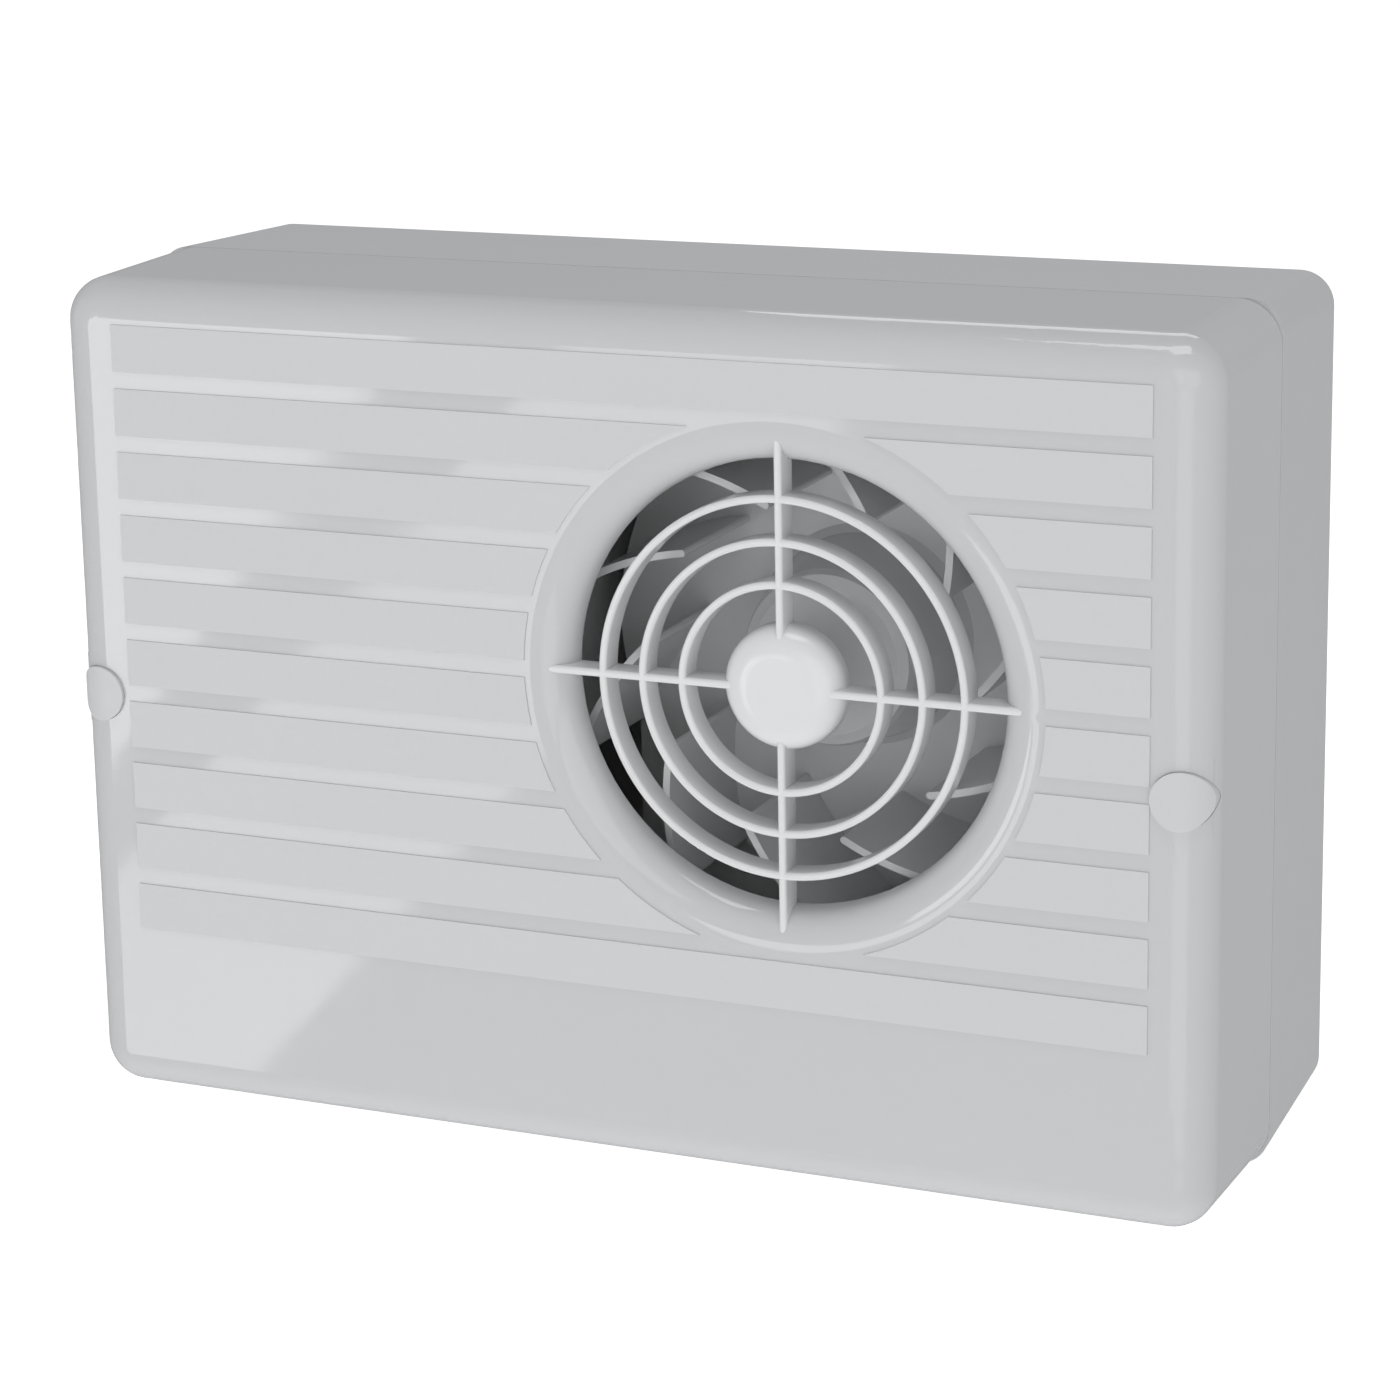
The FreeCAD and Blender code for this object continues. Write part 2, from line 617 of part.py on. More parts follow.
def scroll_outline():
    """The scroll's inner outline in the wall plane: volute, discharge run, spigot chamber, tongue."""
    one, two, three, spigot = scroll_centres()

    def on(arc, angle):
        turn = math.radians(angle)
        return Vector(arc[0] + arc[2] * math.cos(turn), 0, arc[1] + arc[2] * math.sin(turn))

    tip = Vector(46.5, 0, 41.5)
    nose = Vector(52.2, 0, 33.4)
    edges = [Part.Arc(on(one, 200), on(one, 145), on(one, 90)),
             Part.Arc(on(two, 90), on(two, 45), on(two, 0)),
             Part.Arc(on(three, 0), on(three, -45), on(three, -90)),
             Part.LineSegment(on(three, -90), on(spigot, -90)),
             Part.Arc(on(spigot, -90), on(spigot, 180), on(spigot, 90)),
             Part.LineSegment(on(spigot, 90), tip),
             Part.Arc(tip, nose, on(one, 200))]
    return Part.Wire([edge.toShape() for edge in edges])


def raised(face, back, front):
    """A face in the wall plane swept from one lift to another."""
    solid = face.extrude(Vector(0, back - front, 0))
    solid.translate(Vector(0, -back, 0))
    return solid


def rod(radius, back, front, x, z):
    return Part.makeCylinder(radius, front - back, Vector(x, -back, z), Vector(0, -1, 0))


def bar(left, right, back, front, low, high):
    return Part.makeBox(right - left, front - back, high - low, Vector(left, -front, low))


def scroll_faces():
    inner = Part.Face(scroll_outline())
    return inner, inner.makeOffset2D(SIZES["scroll_wall"])


def spoke(wide, back, front, x, z, angle):
    """A web from a screw column to the scroll's wall."""
    web = Part.makeBox(wide, front - back, 6.0, Vector(-wide / 2, -front, 0))
    web.rotate(Vector(0, 0, 0), Vector(0, 1, 0), -90.0 - angle)
    web.translate(Vector(x, 0, z))
    return web


def make_scroll_casing():
    inner, outer = scroll_faces()
    back, front, floor = SIZES["scroll_back"], SIZES["scroll_front"], SIZES["floor_lift"]
    thick = SIZES["scroll_wall"]
    solid = raised(outer, back, front).cut(raised(inner, back - 1, front + 1))
    split = SIZES["fan_x"] - 63.0
    deck = raised(outer, floor, floor + thick).common(bar(split, 400, back, 200, -200, 300))
    step = raised(outer, back, floor + thick).common(bar(split, split + thick, back, 200, -200, 300))
    solid = solid.fuse([deck, step])
    foot = SIZES["column_foot"]
    for x, z, angle in COLUMNS:
        column = rod(SIZES["column_radius"], foot, front, x, z)
        solid = solid.fuse([column, spoke(2.0, foot, front, x, z, angle)])
    solid = solid.cut(rod(12.0, floor - 1, floor + thick + 1, SIZES["fan_x"], SIZES["fan_z"]))
    for x, z, angle in COLUMNS:
        solid = solid.cut(rod(SIZES["screw_radius"] + SIZES["screw_clear"], 30, front + 1, x, z))
    item = doc.addObject("Part::Feature", "scroll_casing")
    item.Shape = solid.removeSplitter()
    return item


def make_scroll_plate():
    outer = scroll_faces()[1]
    back = SIZES["scroll_front"] + 0.2
    front = back + SIZES["plate_thick"]
    solid = raised(outer, back, front)
    for x, z, angle in COLUMNS:
        ear = rod(SIZES["column_radius"], back, front, x, z)
        solid = solid.fuse([ear, spoke(7.0, back, front, x, z, angle)])
    solid = solid.cut(rod(SIZES["orifice_radius"], back - 1, front + 1, SIZES["fan_x"], SIZES["fan_z"]))
    for x, z, angle in COLUMNS:
        solid = solid.cut(rod(SIZES["screw_radius"] + SIZES["screw_clear"], back - 1, front + 1, x, z))
    item = doc.addObject("Part::Feature", "scroll_plate")
    item.Shape = solid.removeSplitter()
    return item


def make_scroll_screws():
    seat = SIZES["scroll_front"] + 0.2 + SIZES["plate_thick"]
    return group("scroll_screws", [screw(f"scroll_screw_{number}", x, z, seat, 74.0)
                                   for number, (x, z, angle) in enumerate(COLUMNS, start=1)])


# ---------------------------------------------------------------- impeller

def make_impeller():
    wheel = Maker("impeller", size("fan_x"), 0.0, size("fan_z"))
    back, front = size("disc_front") - size("disc_thick"), size("disc_front")
    top, thin = size("cup_front"), size("cup_wall")
    shaft, boss = size("shaft_radius"), size("hub_boss")
    turned_solid(wheel, "Revolution", [
        (size("cup_foot") - thin, back), (size("impeller_radius"), back), (size("impeller_radius"), front),
        (size("cup_foot") + 2, front), (size("cup_foot"), front + 2), (size("cup_radius"), top - 3.5),
        (size("cup_radius") - 1, top - 1.2), (size("cup_radius") - 3.5, top), (0.0, top), (0.0, top - thin),
        (shaft, top - thin), (shaft, top - 16), (boss - 1.2, top - 16), (boss, top - 13), (boss, top - thin),
        (size("cup_radius") - 4.5, top - thin), (size("cup_radius") - thin, top - 5)])
    outline = wheel.sketch(front - 0.5)
    middle = Part.Wire([blade_curve().toShape()])
    for edge in middle.makeOffset2D(SIZES["blade_thick"] / 2, openResult=False).Edges:
        outline.addGeometry(sketch_curve(edge))
    first = wheel.pad(outline, size("blade_front") - front + 0.5)
    wheel.polar([first], BLADES)
    return wheel.body


def blade_curve():
    """Middle line of one blade: an arc whose angle to the radius stays near the sweep angle."""
    spots = []
    inner, outer = SIZES["blade_inner"], SIZES["impeller_radius"] - 1.2
    for radius in (inner + 0.9, math.sqrt(inner * outer), outer):
        swept = math.tan(math.radians(BLADE_SWEEP)) * math.log(radius / inner)
        angle = math.radians(BLADE_PHASE) + swept
        spots.append(Vector(radius * math.cos(angle), radius * math.sin(angle), 0))
    return Part.Arc(*spots)


def sketch_curve(edge):
    """An edge as sketch geometry: a line stays a line and a round edge becomes an arc."""
    ends = [edge.valueAt(edge.FirstParameter), edge.valueAt(edge.LastParameter)]
    if isinstance(edge.Curve, Part.Line):
        return Part.LineSegment(*ends)
    middle = edge.valueAt((edge.FirstParameter + edge.LastParameter) / 2)
    return Part.Arc(ends[0], middle, ends[1])


def make_impeller_clip():
    top = size("cup_front") - 10.5
    ring = tube("impeller_clip_ring", size("hub_boss") + 1.0, size("hub_boss"), top - 2.0, top,
                size("fan_x"), size("fan_z"))
    gap = box("impeller_clip_gap", size("fan_x") - 0.8, size("fan_x") + 0.8, top - 4, top + 2,
              size("fan_z"), size("fan_z") + 9)
    return cut("impeller_clip", ring, gap)


# ---------------------------------------------------------------- motor

def make_stator_core():
    core = Maker("stator_core", size("fan_x"), 0.0, size("fan_z"))
    plate = core.sketch(size("core_back"))
    rectangle(plate, -size("core_half"), size("core_half"), -size("core_low"), size("core_top"))
    circle(plate, size("bore_radius"))
    rectangle(plate, -19.0, 19.0, 20.0, 42.0)
    for x, z in shading_slots():
        rectangle(plate, x - 1.2, x + 1.2, z - 1.2, z + 1.2)
    for sign in (-1, 1):
        circle(plate, 2.2, 25.0 * sign, 0.0)
    core.pad(plate, size("core_front") - size("core_back"))
    return core.body


def shading_slots():
    """Square slots for the copper shading rings, beside the bore: two rings, two slots each."""
    return [(-13.0, 13.0), (-22.0, 13.5), (13.0, -13.0), (22.0, -13.5)]


def make_shading_rings():
    slots = shading_slots()
    back, front = SIZES["core_back"], SIZES["core_front"]
    rings = []
    for (x_one, z_one), (x_two, z_two) in (slots[:2], slots[2:]):
        ends = rod(1.1, back - 2, front + 2, x_one, z_one).fuse(rod(1.1, back - 2, front + 2, x_two, z_two))
        span = Vector(x_two - x_one, 0, z_two - z_one)
        for lift in (back - 1.3, front + 1.3):
            link = Part.makeCylinder(1.1, span.Length, Vector(x_one, -lift, z_one), span)
            ends = ends.fuse(link)
        ends.translate(Vector(SIZES["fan_x"], 0, SIZES["fan_z"]))
        rings.append(ends)
    item = doc.addObject("Part::Feature", "shading_rings")
    item.Shape = Part.makeCompound(rings)
    return item


def coil_box(name, half, grow):
    """A block round the core's top leg: half its length in x, grown about the leg's section."""
    x, z = size("fan_x"), size("fan_z")
    return box(name, x - half, x + half, size("core_back") - grow, size("core_front") + grow,
               z + 42.0 - grow, z + size("core_top") + grow)


def make_coil_bobbin():
    outer = coil_box("bobbin_outside", 18.6, 1.2)
    flanges = []
    for side, sign in SIDES:
        x = size("fan_x") + 17.8 * sign
        flanges.append(box(f"bobbin_flange_{side}", x - 0.8, x + 0.8, size("core_back") - 6.8,
                           size("core_front") + 6.8, size("fan_z") + 35.4, size("fan_z") + 64.6))
    leg = coil_box("bobbin_leg", 30.0, 0.15)
    return cut("coil_bobbin", fuse("bobbin_blank", [outer] + flanges), leg)


def make_coil_winding():
    outer = coil_box("winding_outside", 16.8, 6.0)
    inner = coil_box("winding_inside", 30.0, 1.3)
    doc.recompute()
    soft = doc.addObject("Part::Fillet", "winding_soft")
    soft.Base = outer
    soft.Edges = [(number, 3.0, 3.0) for number, edge in enumerate(outer.Shape.Edges, start=1)
                  if abs(edge.Vertexes[0].Point.x - edge.Vertexes[1].Point.x) > 1]
    return cut("coil_winding", soft, inner)


def make_rotor():
    rotor = Maker("rotor", size("fan_x"), 0.0, size("fan_z"))
    middle = size("rotor_radius") - 3.0
    back, front, bore = size("core_back") - 1.0, size("core_front") + 1.0, size("shaft_radius")
    turned_solid(rotor, "Revolution", [
        (bore, back), (middle - 3, back), (middle, back + 0.6), (size("rotor_radius"), back + 1.6),
        (size("rotor_radius"), front - 1.6), (middle, front - 0.6), (middle - 3, front), (bore, front)])
    return rotor.body


def make_shaft():
    axle = Maker("shaft", size("fan_x"), 0.0, size("fan_z"))
    radius = size("shaft_radius")
    tip = size("cup_front") - size("cup_wall")
    turned_solid(axle, "Revolution", [(0.0, 5.0), (radius - 0.5, 5.0), (radius, 5.5), (radius, tip - 0.6),
                                      (radius - 0.6, tip), (0.0, tip)])
    return axle.body


def make_thrust_washers():
    x, z = size("fan_x"), size("fan_z")
    return group("thrust_washers", [
        tube("thrust_washer_rear", 4.4, size("shaft_radius"), 10.9, 11.8, x, z),
        tube("thrust_washer_front", 4.4, size("shaft_radius"), 34.3, 35.2, x, z),
        tube("thrust_washer_nose", 5.6, size("shaft_radius"), 48.2, 49.4, x, z)])


def make_bracket(name, points, nose_back, nose_front, slots):
    """A pressed strap across the core with a bearing nose; points give (x, lift) of its section."""
    strap = Maker(name, size("fan_x"), 0.0, size("fan_z"))
    section = strap.sketch(-size("strap_half"), role="XY_Plane")
    polygon(section, [(x, -lift) for x, lift in points])
    strap.pad(section, size("strap_half") * 2)
    nose = strap.sketch(nose_back)
    circle(nose, 7.0)
    strap.pad(nose, nose_front - nose_back)
    bores = strap.sketch(60.0)
    circle(bores, size("bearing_radius"))
    for sign in (-1, 1):
        for reach, radius in slots:
            circle(bores, radius, reach * sign, 0.0)
    strap.pocket(bores, 59.0)
    return strap.body


def mirrored(half):
    """A closed outline from the corners of its right half, in order."""
    return half + [(-x, lift) for x, lift in reversed(half)]


def make_front_bracket():
    core = SIZES["core_front"]
    half = [(17.0, core + 4), (17.0, core), (30.0, core), (30.0, core + 2), (19.0, core + 2),
            (19.0, core + 6)]
    return make_bracket("front_bracket", mirrored(half), core + 4, core + 14, [(25.0, 2.2)])


def make_rear_bracket():
    core = SIZES["core_back"]
    front = [(17.0, core - 4), (17.0, core), (33.0, core), (33.0, core + 6), (48.0, core + 6)]
    rear = [(48.0, core + 4), (35.0, core + 4), (35.0, core - 2), (19.0, core - 2), (19.0, core - 6)]
    holes = [(25.0, 2.2), (size("mount_reach"), 3.6)]
    return make_bracket("rear_bracket", mirrored(front + rear), core - 9, core - 3, holes)


def make_bearings():
    x, z = size("fan_x"), size("fan_z")
    bore = size("shaft_radius") + 0.05
    front = tube("front_bearing", size("bearing_radius"), bore, 38.0, 46.5, x, z)
    rear = tube("rear_bearing", size("bearing_radius"), bore, 4.4, 9.8, x, z)
    return [front, rear]


def make_motor_screws():
    """Two screws that clamp the brackets to the core, heads at the front."""
    seat = size("core_front") + 2
    return group("motor_screws", [screw(f"motor_screw_{side}", size("fan_x") + 25.0 * sign, size("fan_z"),
                                        seat, 26.5, head=3.5, head_high=2.4) for side, sign in SIDES])


def make_motor_nuts():
    nuts = []
    for side, sign in SIDES:
        x = size("fan_x") + 25.0 * sign
        prism = doc.addObject("Part::Prism", f"motor_nut_{side}_blank")
        prism.Polygon = 6
        prism.Circumradius = 4.0
        prism.Height = 2.8
        prism.Placement = Placement(Vector(0, 0, 0), TOWARDS_ROOM)
        place(prism, x, size("core_back") - 4.9, size("fan_z"))
        bore = cylinder(f"motor_nut_{side}_bore", size("screw_radius"), 5.0, 14.0, x, size("fan_z"))
        nuts.append(cut(f"motor_nut_{side}", prism, bore))
    return group("motor_nuts", nuts)


def make_rubber_mounts():
    """Grommets in the rear bracket's ends: two flanges and a neck, on the housing's motor posts."""
    mounts = []
    low = size("mount_lift")
    for side, sign in SIDES:
        x, z = size("fan_x") + size("mount_reach") * sign, size("fan_z")
        stack = [cylinder(f"mount_{side}_low", 4.8, low, low + 2.0, x, z),
                 cylinder(f"mount_{side}_neck", 3.6, low + 2.0, low + 4.0, x, z),
                 cylinder(f"mount_{side}_high", 4.8, low + 4.0, low + 6.0, x, z)]
        bore = cylinder(f"mount_{side}_bore", 2.0, low - 1, low + 8.0, x, z)
        mounts.append(cut(f"rubber_mount_{side}", fuse(f"mount_{side}_blank", stack), bore))
    return group("rubber_mounts", mounts)


def make_mount_screws():
    screws = []
    for side, sign in SIDES:
        x = size("fan_x") + size("mount_reach") * sign
        screws.append(screw(f"mount_screw_{side}", x, size("fan_z"), size("mount_lift") + 6.0, 17.0))
    return group("mount_screws", screws)


# ---------------------------------------------------------------- outlet spigot and shutters

pin_reach = size("spigot_radius") - 0.4


def make_outlet_spigot():
    spigot = Maker("outlet_spigot")
    outer, inner = size("spigot_radius"), size("spigot_radius") - size("spigot_wall")
    face, step = size("wall") + 2.0, size("pin_back") - 0.95
    turned_solid(spigot, "Revolution", [
        (inner - 2.5, -step), (inner, -step), (inner, -size("spigot_long")),
        (outer - 0.8, -size("spigot_long")), (outer, -size("spigot_long") + 1.5), (outer, -0.5),
        (outer - 0.7, -0.5), (outer - 0.7, size("wall")),
        (size("spigot_flange"), size("wall")), (size("spigot_flange"), face), (inner, face),
        (inner, -step + 2.6), (inner - 2.5, -step + 2.6)])
    sockets = spigot.sketch(role="XY_Plane")
    circle(sockets, size("pin_radius"), 0.0, size("pin_back"))
    spigot.feature("Pocket", sockets, Length=pin_reach * 2, SideType="Symmetric")
    return spigot.body


def make_shutter_pin():
    item = doc.addObject("Part::Cylinder", "shutter_pin")
    item.Radius = SIZES["pin_radius"]
    bind(item, "Radius", size("pin_radius"))
    item.Height = float(pin_reach * 2)
    bind(item, "Height", pin_reach * 2)
    place(item, 0.0, -size("pin_back"), -pin_reach)
    return item


KNUCKLES = {"left": [(-42.0, -24.0), (6.0, 22.0)], "right": [(-22.0, -6.0), (24.0, 42.0)]}


def make_shutter_flap(side, sign):
    """Half a disc hinged on the pin; its knuckles interleave with the other flap's."""
    back, thick = SIZES["pin_back"], SIZES["flap_thick"]
    disc = Part.makeCylinder(SIZES["flap_radius"], thick, Vector(0, back - thick / 2, 0), Vector(0, 1, 0))
    gap = SIZES["knuckle_radius"] + 0.5
    edge = gap if sign > 0 else -gap - 200
    solid = disc.common(Part.makeBox(200, 20, 200, Vector(edge, back - 10, -100)))
    for low, high in KNUCKLES[side]:
        foot = Vector(0, back, low)
        barrel = Part.makeCylinder(SIZES["knuckle_radius"], high - low, foot, Vector(0, 0, 1))
        corner = Vector(0 if sign > 0 else -gap - 1, back - thick / 2, low)
        leaf = Part.makeBox(gap + 1, thick, high - low, corner)
        solid = solid.fuse(barrel).fuse(leaf)
    bore = Part.makeCylinder(SIZES["pin_radius"] + 0.06, 120, Vector(0, back, -60), Vector(0, 0, 1))
    rib = Part.makeBox(30, 1.0, 1.4, Vector(8 if sign > 0 else -38, back + thick / 2 - 0.1, -0.7))
    item = doc.addObject("Part::Feature", f"shutter_flap_{side}")
    item.Shape = solid.fuse(rib).cut(bore).removeSplitter()
    return item


def make_shutter_spring():
    """A closely wound torsion spring round the pin between the knuckles."""
    wire, turns, radius = 0.35, 6, 1.75
    helix = Part.makeHelix(wire * 2.5, wire * 2.5 * turns, radius)
    start = helix.Edges[0].valueAt(helix.Edges[0].FirstParameter)
    along = helix.Edges[0].tangentAt(helix.Edges[0].FirstParameter)
    ring = Part.Wire([Part.makeCircle(wire, start, along)])
    coil = Part.Wire(helix).makePipeShell([ring], True, True)
    coil.translate(Vector(0, SIZES["pin_back"], -wire * 2.5 * turns / 2))
    item = doc.addObject("Part::Feature", "shutter_spring")
    item.Shape = coil
    return item


# ---------------------------------------------------------------- electrics

TERMINAL_REACH = 11.0


def make_terminal_block():
    x, z = BLOCK_SPOT
    parts = [box("terminal_base", x - 17, x + 17, 8.0, 12.0, z - 8, z + 8)]
    bores = [cylinder("terminal_fixing", 1.7, 7.0, 30.0, x, z)]
    for side, sign in SIDES:
        middle = x + TERMINAL_REACH * sign
        parts.append(box(f"terminal_tower_{side}", middle - 4.6, middle + 4.6, 11.5, 21.0, z - 8, z + 8))
        bores.append(box(f"terminal_tunnel_{side}", middle - 1.6, middle + 1.6, 12.6, 15.8, z - 9, z + 9))
        for end, row in (("load", -4.2), ("supply", 4.2)):
            bores.append(cylinder(f"terminal_thread_{end}_{side}", 1.3, 15.0, 22.0, middle, z + row))
            bores.append(cylinder(f"terminal_well_{end}_{side}", 2.1, 17.4, 22.0, middle, z + row))
    return cut("terminal_block", fuse("terminal_blank", parts), fuse("terminal_bores", bores))


def make_terminal_screws():
    x, z = BLOCK_SPOT
    screws = []
    for side, sign in SIDES:
        for end, row in (("load", -4.2), ("supply", 4.2)):
            middle = x + TERMINAL_REACH * sign
            screws.append(screw(f"terminal_screw_{end}_{side}", middle, z + row, 17.4, 1.9, 1.3, 1.9, 1.6))
    return group("terminal_screws", screws)


def make_block_screw():
    x, z = BLOCK_SPOT
    return screw("block_screw", x, z, 12.0, 9.0, 1.4, 2.9, 2.0)


def make_cable_clamp():
    x, low = CLAMP_SPOTS[0]
    high = CLAMP_SPOTS[1][1]
    body = box("clamp_bar", x - 4, x + 4, 7.0, 11.0, low - 4, high + 4)
    arch = doc.addObject("Part::Cylinder", "clamp_arch")
    arch.Radius = 4.6
    arch.Height = 20
    arch.Placement = Placement(Vector(x - 10, -5.4, (low + high) / 2), Rotation(Vector(0, 1, 0), 90))
    bores = [cylinder(f"clamp_hole_{end}", 1.7, 6, 12, x, z) for end, z in (("low", low), ("high", high))]
    return cut("cable_clamp", body, fuse("clamp_bores", bores + [arch]))


def make_clamp_screws():
    return group("clamp_screws", [screw(f"clamp_screw_{number}", x, z, 11.0, 8.6, 1.4, 2.9, 2.0)
                                  for number, (x, z) in enumerate(CLAMP_SPOTS, start=1)])


def make_cable_grommet():
    x, z, radius = size("cable_x"), size("cable_z"), size("cable_radius")
    wall = size("wall")
    stack = [cylinder("grommet_inside_flange", radius + 3, wall, wall + 1.6, x, z),
             cylinder("grommet_neck", radius + 1, 0.2, wall, x, z),
             cylinder("grommet_cone", radius - 1, wall + 1.6, wall + 4.6, x, z)]
    return cut("cable_grommet", fuse("grommet_blank", stack), cylinder("grommet_bore", 3.6, -1, 12, x, z))


def lead_path(points, bend):
    """Straight runs joined by tangent arcs; points are (x, lift, z)."""
    spots = [Vector(x, -lift, z) for x, lift, z in points]
    edges = []
    start = spots[0]
    for before, corner, after in zip(spots, spots[1:], spots[2:]):
        back = (before - corner).normalize()
        onward = (after - corner).normalize()
        half = back.getAngle(onward) / 2
        reach = min(bend / math.tan(half), 0.45 * min((before - corner).Length, (after - corner).Length))
        radius = reach * math.tan(half)
        entry, leave = corner + back * reach, corner + onward * reach
        middle = corner + (back + onward).normalize() * (radius / math.sin(half) - radius)
        edges.append(Part.LineSegment(start, entry).toShape())
        edges.append(Part.Arc(entry, middle, leave).toShape())
        start = leave
    edges.append(Part.LineSegment(start, spots[-1]).toShape())
    return Part.Wire(edges)


def make_lead(name, points):
    path = lead_path(points, 9.0)
    first = path.Edges[0]
    along = first.tangentAt(first.FirstParameter)
    ring = Part.Wire([Part.makeCircle(0.85, first.valueAt(first.FirstParameter), along)])
    item = doc.addObject("Part::Feature", name)
    item.Shape = path.makePipeShell([ring], True, True)
    print(name, "length", round(path.Length, 1), "volume ratio",
          round(item.Shape.Volume / (math.pi * 0.85 ** 2 * path.Length), 3))
    return item


def make_leads():
    """The two coil leads: off the bobbin, past the core, under the scroll's wall and into the terminals."""
    live = [(109.3, 36.5, 110.0), (94.0, 36.5, 109.0), (88.0, 24.0, 102.0), (80.0, 8.0, 92.0),
            (70.0, 3.65, 84.0), (44.0, 3.65, 75.0), (14.0, 3.65, 76.0), (6.0, 6.5, 84.0), (6.0, 14.2, 91.0),
            (6.0, 14.2, 97.0)]
    neutral = [(109.3, 36.5, 118.0), (92.0, 36.5, 116.0), (86.0, 24.0, 108.0), (78.0, 8.0, 98.0),
               (68.0, 3.65, 90.0), (50.0, 3.65, 82.0), (34.0, 3.65, 81.0), (28.0, 6.5, 86.0),
               (28.0, 14.2, 91.5), (28.0, 14.2, 97.0)]
    return [make_lead("lead_live", live), make_lead("lead_neutral", neutral)]


# ---------------------------------------------------------------- build and write

nodes = [make_front_cover(), make_inlet_grille(), make_cover_screws()]
nodes += [make_screw_cap(side, sign) for side, sign in SIDES]
nodes += [make_rear_housing(), make_scroll_casing(), make_scroll_plate(), make_scroll_screws()]
nodes += [make_impeller(), make_impeller_clip(), make_stator_core(), make_shading_rings()]
nodes += [make_coil_bobbin(), make_coil_winding(), make_rotor(), make_shaft(), make_thrust_washers()]
nodes += [make_front_bracket(), make_rear_bracket(), make_motor_screws(), make_motor_nuts()]
nodes += [make_rubber_mounts(), make_mount_screws(), make_outlet_spigot(), make_shutter_pin()]
nodes += [make_shutter_spring(), make_terminal_block(), make_terminal_screws(), make_block_screw()]
nodes += [make_cable_clamp(), make_clamp_screws(), make_cable_grommet()]
nodes += make_bearings()
nodes += [make_shutter_flap(side, sign) for side, sign in SIDES]
nodes += make_leads()
doc.recompute()

for item in doc.Objects:
    if "Invalid" in item.State or "Error" in item.State:
        raise RuntimeError(f"{item.Name} did not build: {item.State}")
for node in nodes:
    if node.Shape.isNull() or not node.Shape.isValid():
        raise RuntimeError(f"{node.Label} has no valid shape")
    node.Shape.exportStep(f"parts/{node.Label}.step")
    print(node.Label, len(node.Shape.Solids), round(node.Shape.Volume))
print(len(nodes), "nodes written")
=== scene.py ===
# %% [markdown]
# # A bathroom extractor fan, dressed for the studio
#
# The fan is a flat white box that hangs on a bathroom wall. Its shape comes from a CAD model that
# is loaded as a fixed frame: every part is already in its place, in metres, with X to the right,
# Y into the wall and Z up. This lesson gives those parts their finishes, makes the coil again as
# single turns of wire, and sets up the light, the floor and the camera.

import math

import bpy
from mathutils import Matrix, Quaternion, Vector


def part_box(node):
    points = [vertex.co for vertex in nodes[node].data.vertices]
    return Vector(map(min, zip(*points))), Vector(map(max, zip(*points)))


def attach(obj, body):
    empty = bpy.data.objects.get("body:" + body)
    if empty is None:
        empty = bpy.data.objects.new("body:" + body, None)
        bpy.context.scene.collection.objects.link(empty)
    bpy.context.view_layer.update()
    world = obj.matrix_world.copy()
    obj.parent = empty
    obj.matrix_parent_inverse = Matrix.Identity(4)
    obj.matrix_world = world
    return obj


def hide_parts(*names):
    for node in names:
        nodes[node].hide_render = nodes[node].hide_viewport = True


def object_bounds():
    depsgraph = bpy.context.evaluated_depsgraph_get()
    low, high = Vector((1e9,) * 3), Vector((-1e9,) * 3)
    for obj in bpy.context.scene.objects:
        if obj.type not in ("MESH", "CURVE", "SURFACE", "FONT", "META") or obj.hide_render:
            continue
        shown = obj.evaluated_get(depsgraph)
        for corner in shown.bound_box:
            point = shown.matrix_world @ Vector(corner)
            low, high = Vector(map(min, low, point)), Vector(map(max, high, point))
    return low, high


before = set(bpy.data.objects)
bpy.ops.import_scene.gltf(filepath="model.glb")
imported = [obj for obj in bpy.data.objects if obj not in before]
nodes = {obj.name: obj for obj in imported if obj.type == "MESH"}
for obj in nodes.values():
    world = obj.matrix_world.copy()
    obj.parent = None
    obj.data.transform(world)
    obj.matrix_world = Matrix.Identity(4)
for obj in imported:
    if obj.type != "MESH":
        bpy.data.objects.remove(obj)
cad_low, cad_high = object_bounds()
bpy.ops.object.select_all(action="DESELECT")
print("the frame has", len(nodes), "nodes")

# %% [markdown]
# ## The camera
#
# The picture is taken from the right of the fan and a little above it, with a long lens, so the
# sides of the box close in only slightly with distance. A camera is an object with a place and a
# turn. The turn is easiest to think of as three angles: how far the camera swings round the
# upright axis, how far it looks down, and how far it leans over its own axis. The lens shift
# slides the picture in its frame without turning the camera.

# %% Place the camera
CAMERA_PLACE = Vector((0.4670, -0.9371, 0.3034))
SWING = math.radians(24.21)
LOOK_DOWN = math.radians(13.56)
LEAN = math.radians(1.22)
LENS_MM = 102.41

camera_data = bpy.data.cameras.new("studio_camera")
camera = bpy.data.objects.new("studio_camera", camera_data)
bpy.context.scene.collection.objects.link(camera)
ahead = Vector((-math.sin(SWING) * math.cos(LOOK_DOWN), math.cos(SWING) * math.cos(LOOK_DOWN),
                -math.sin(LOOK_DOWN)))
level = ahead.cross(Vector((0, 0, 1))).normalized()
right = Matrix.Rotation(LEAN, 3, ahead) @ level
up = right.cross(ahead)
turn = Matrix((right, up, -ahead)).transposed().to_4x4()
camera.matrix_world = Matrix.Translation(CAMERA_PLACE) @ turn
camera_data.lens = LENS_MM
camera_data.sensor_width = 36.0
camera_data.shift_x = 0.0429
camera_data.shift_y = -0.0786
bpy.context.scene.camera = camera
print("the camera stands", round((CAMERA_PLACE - Vector((0.084, -0.106, 0.045))).length, 3), "m away")

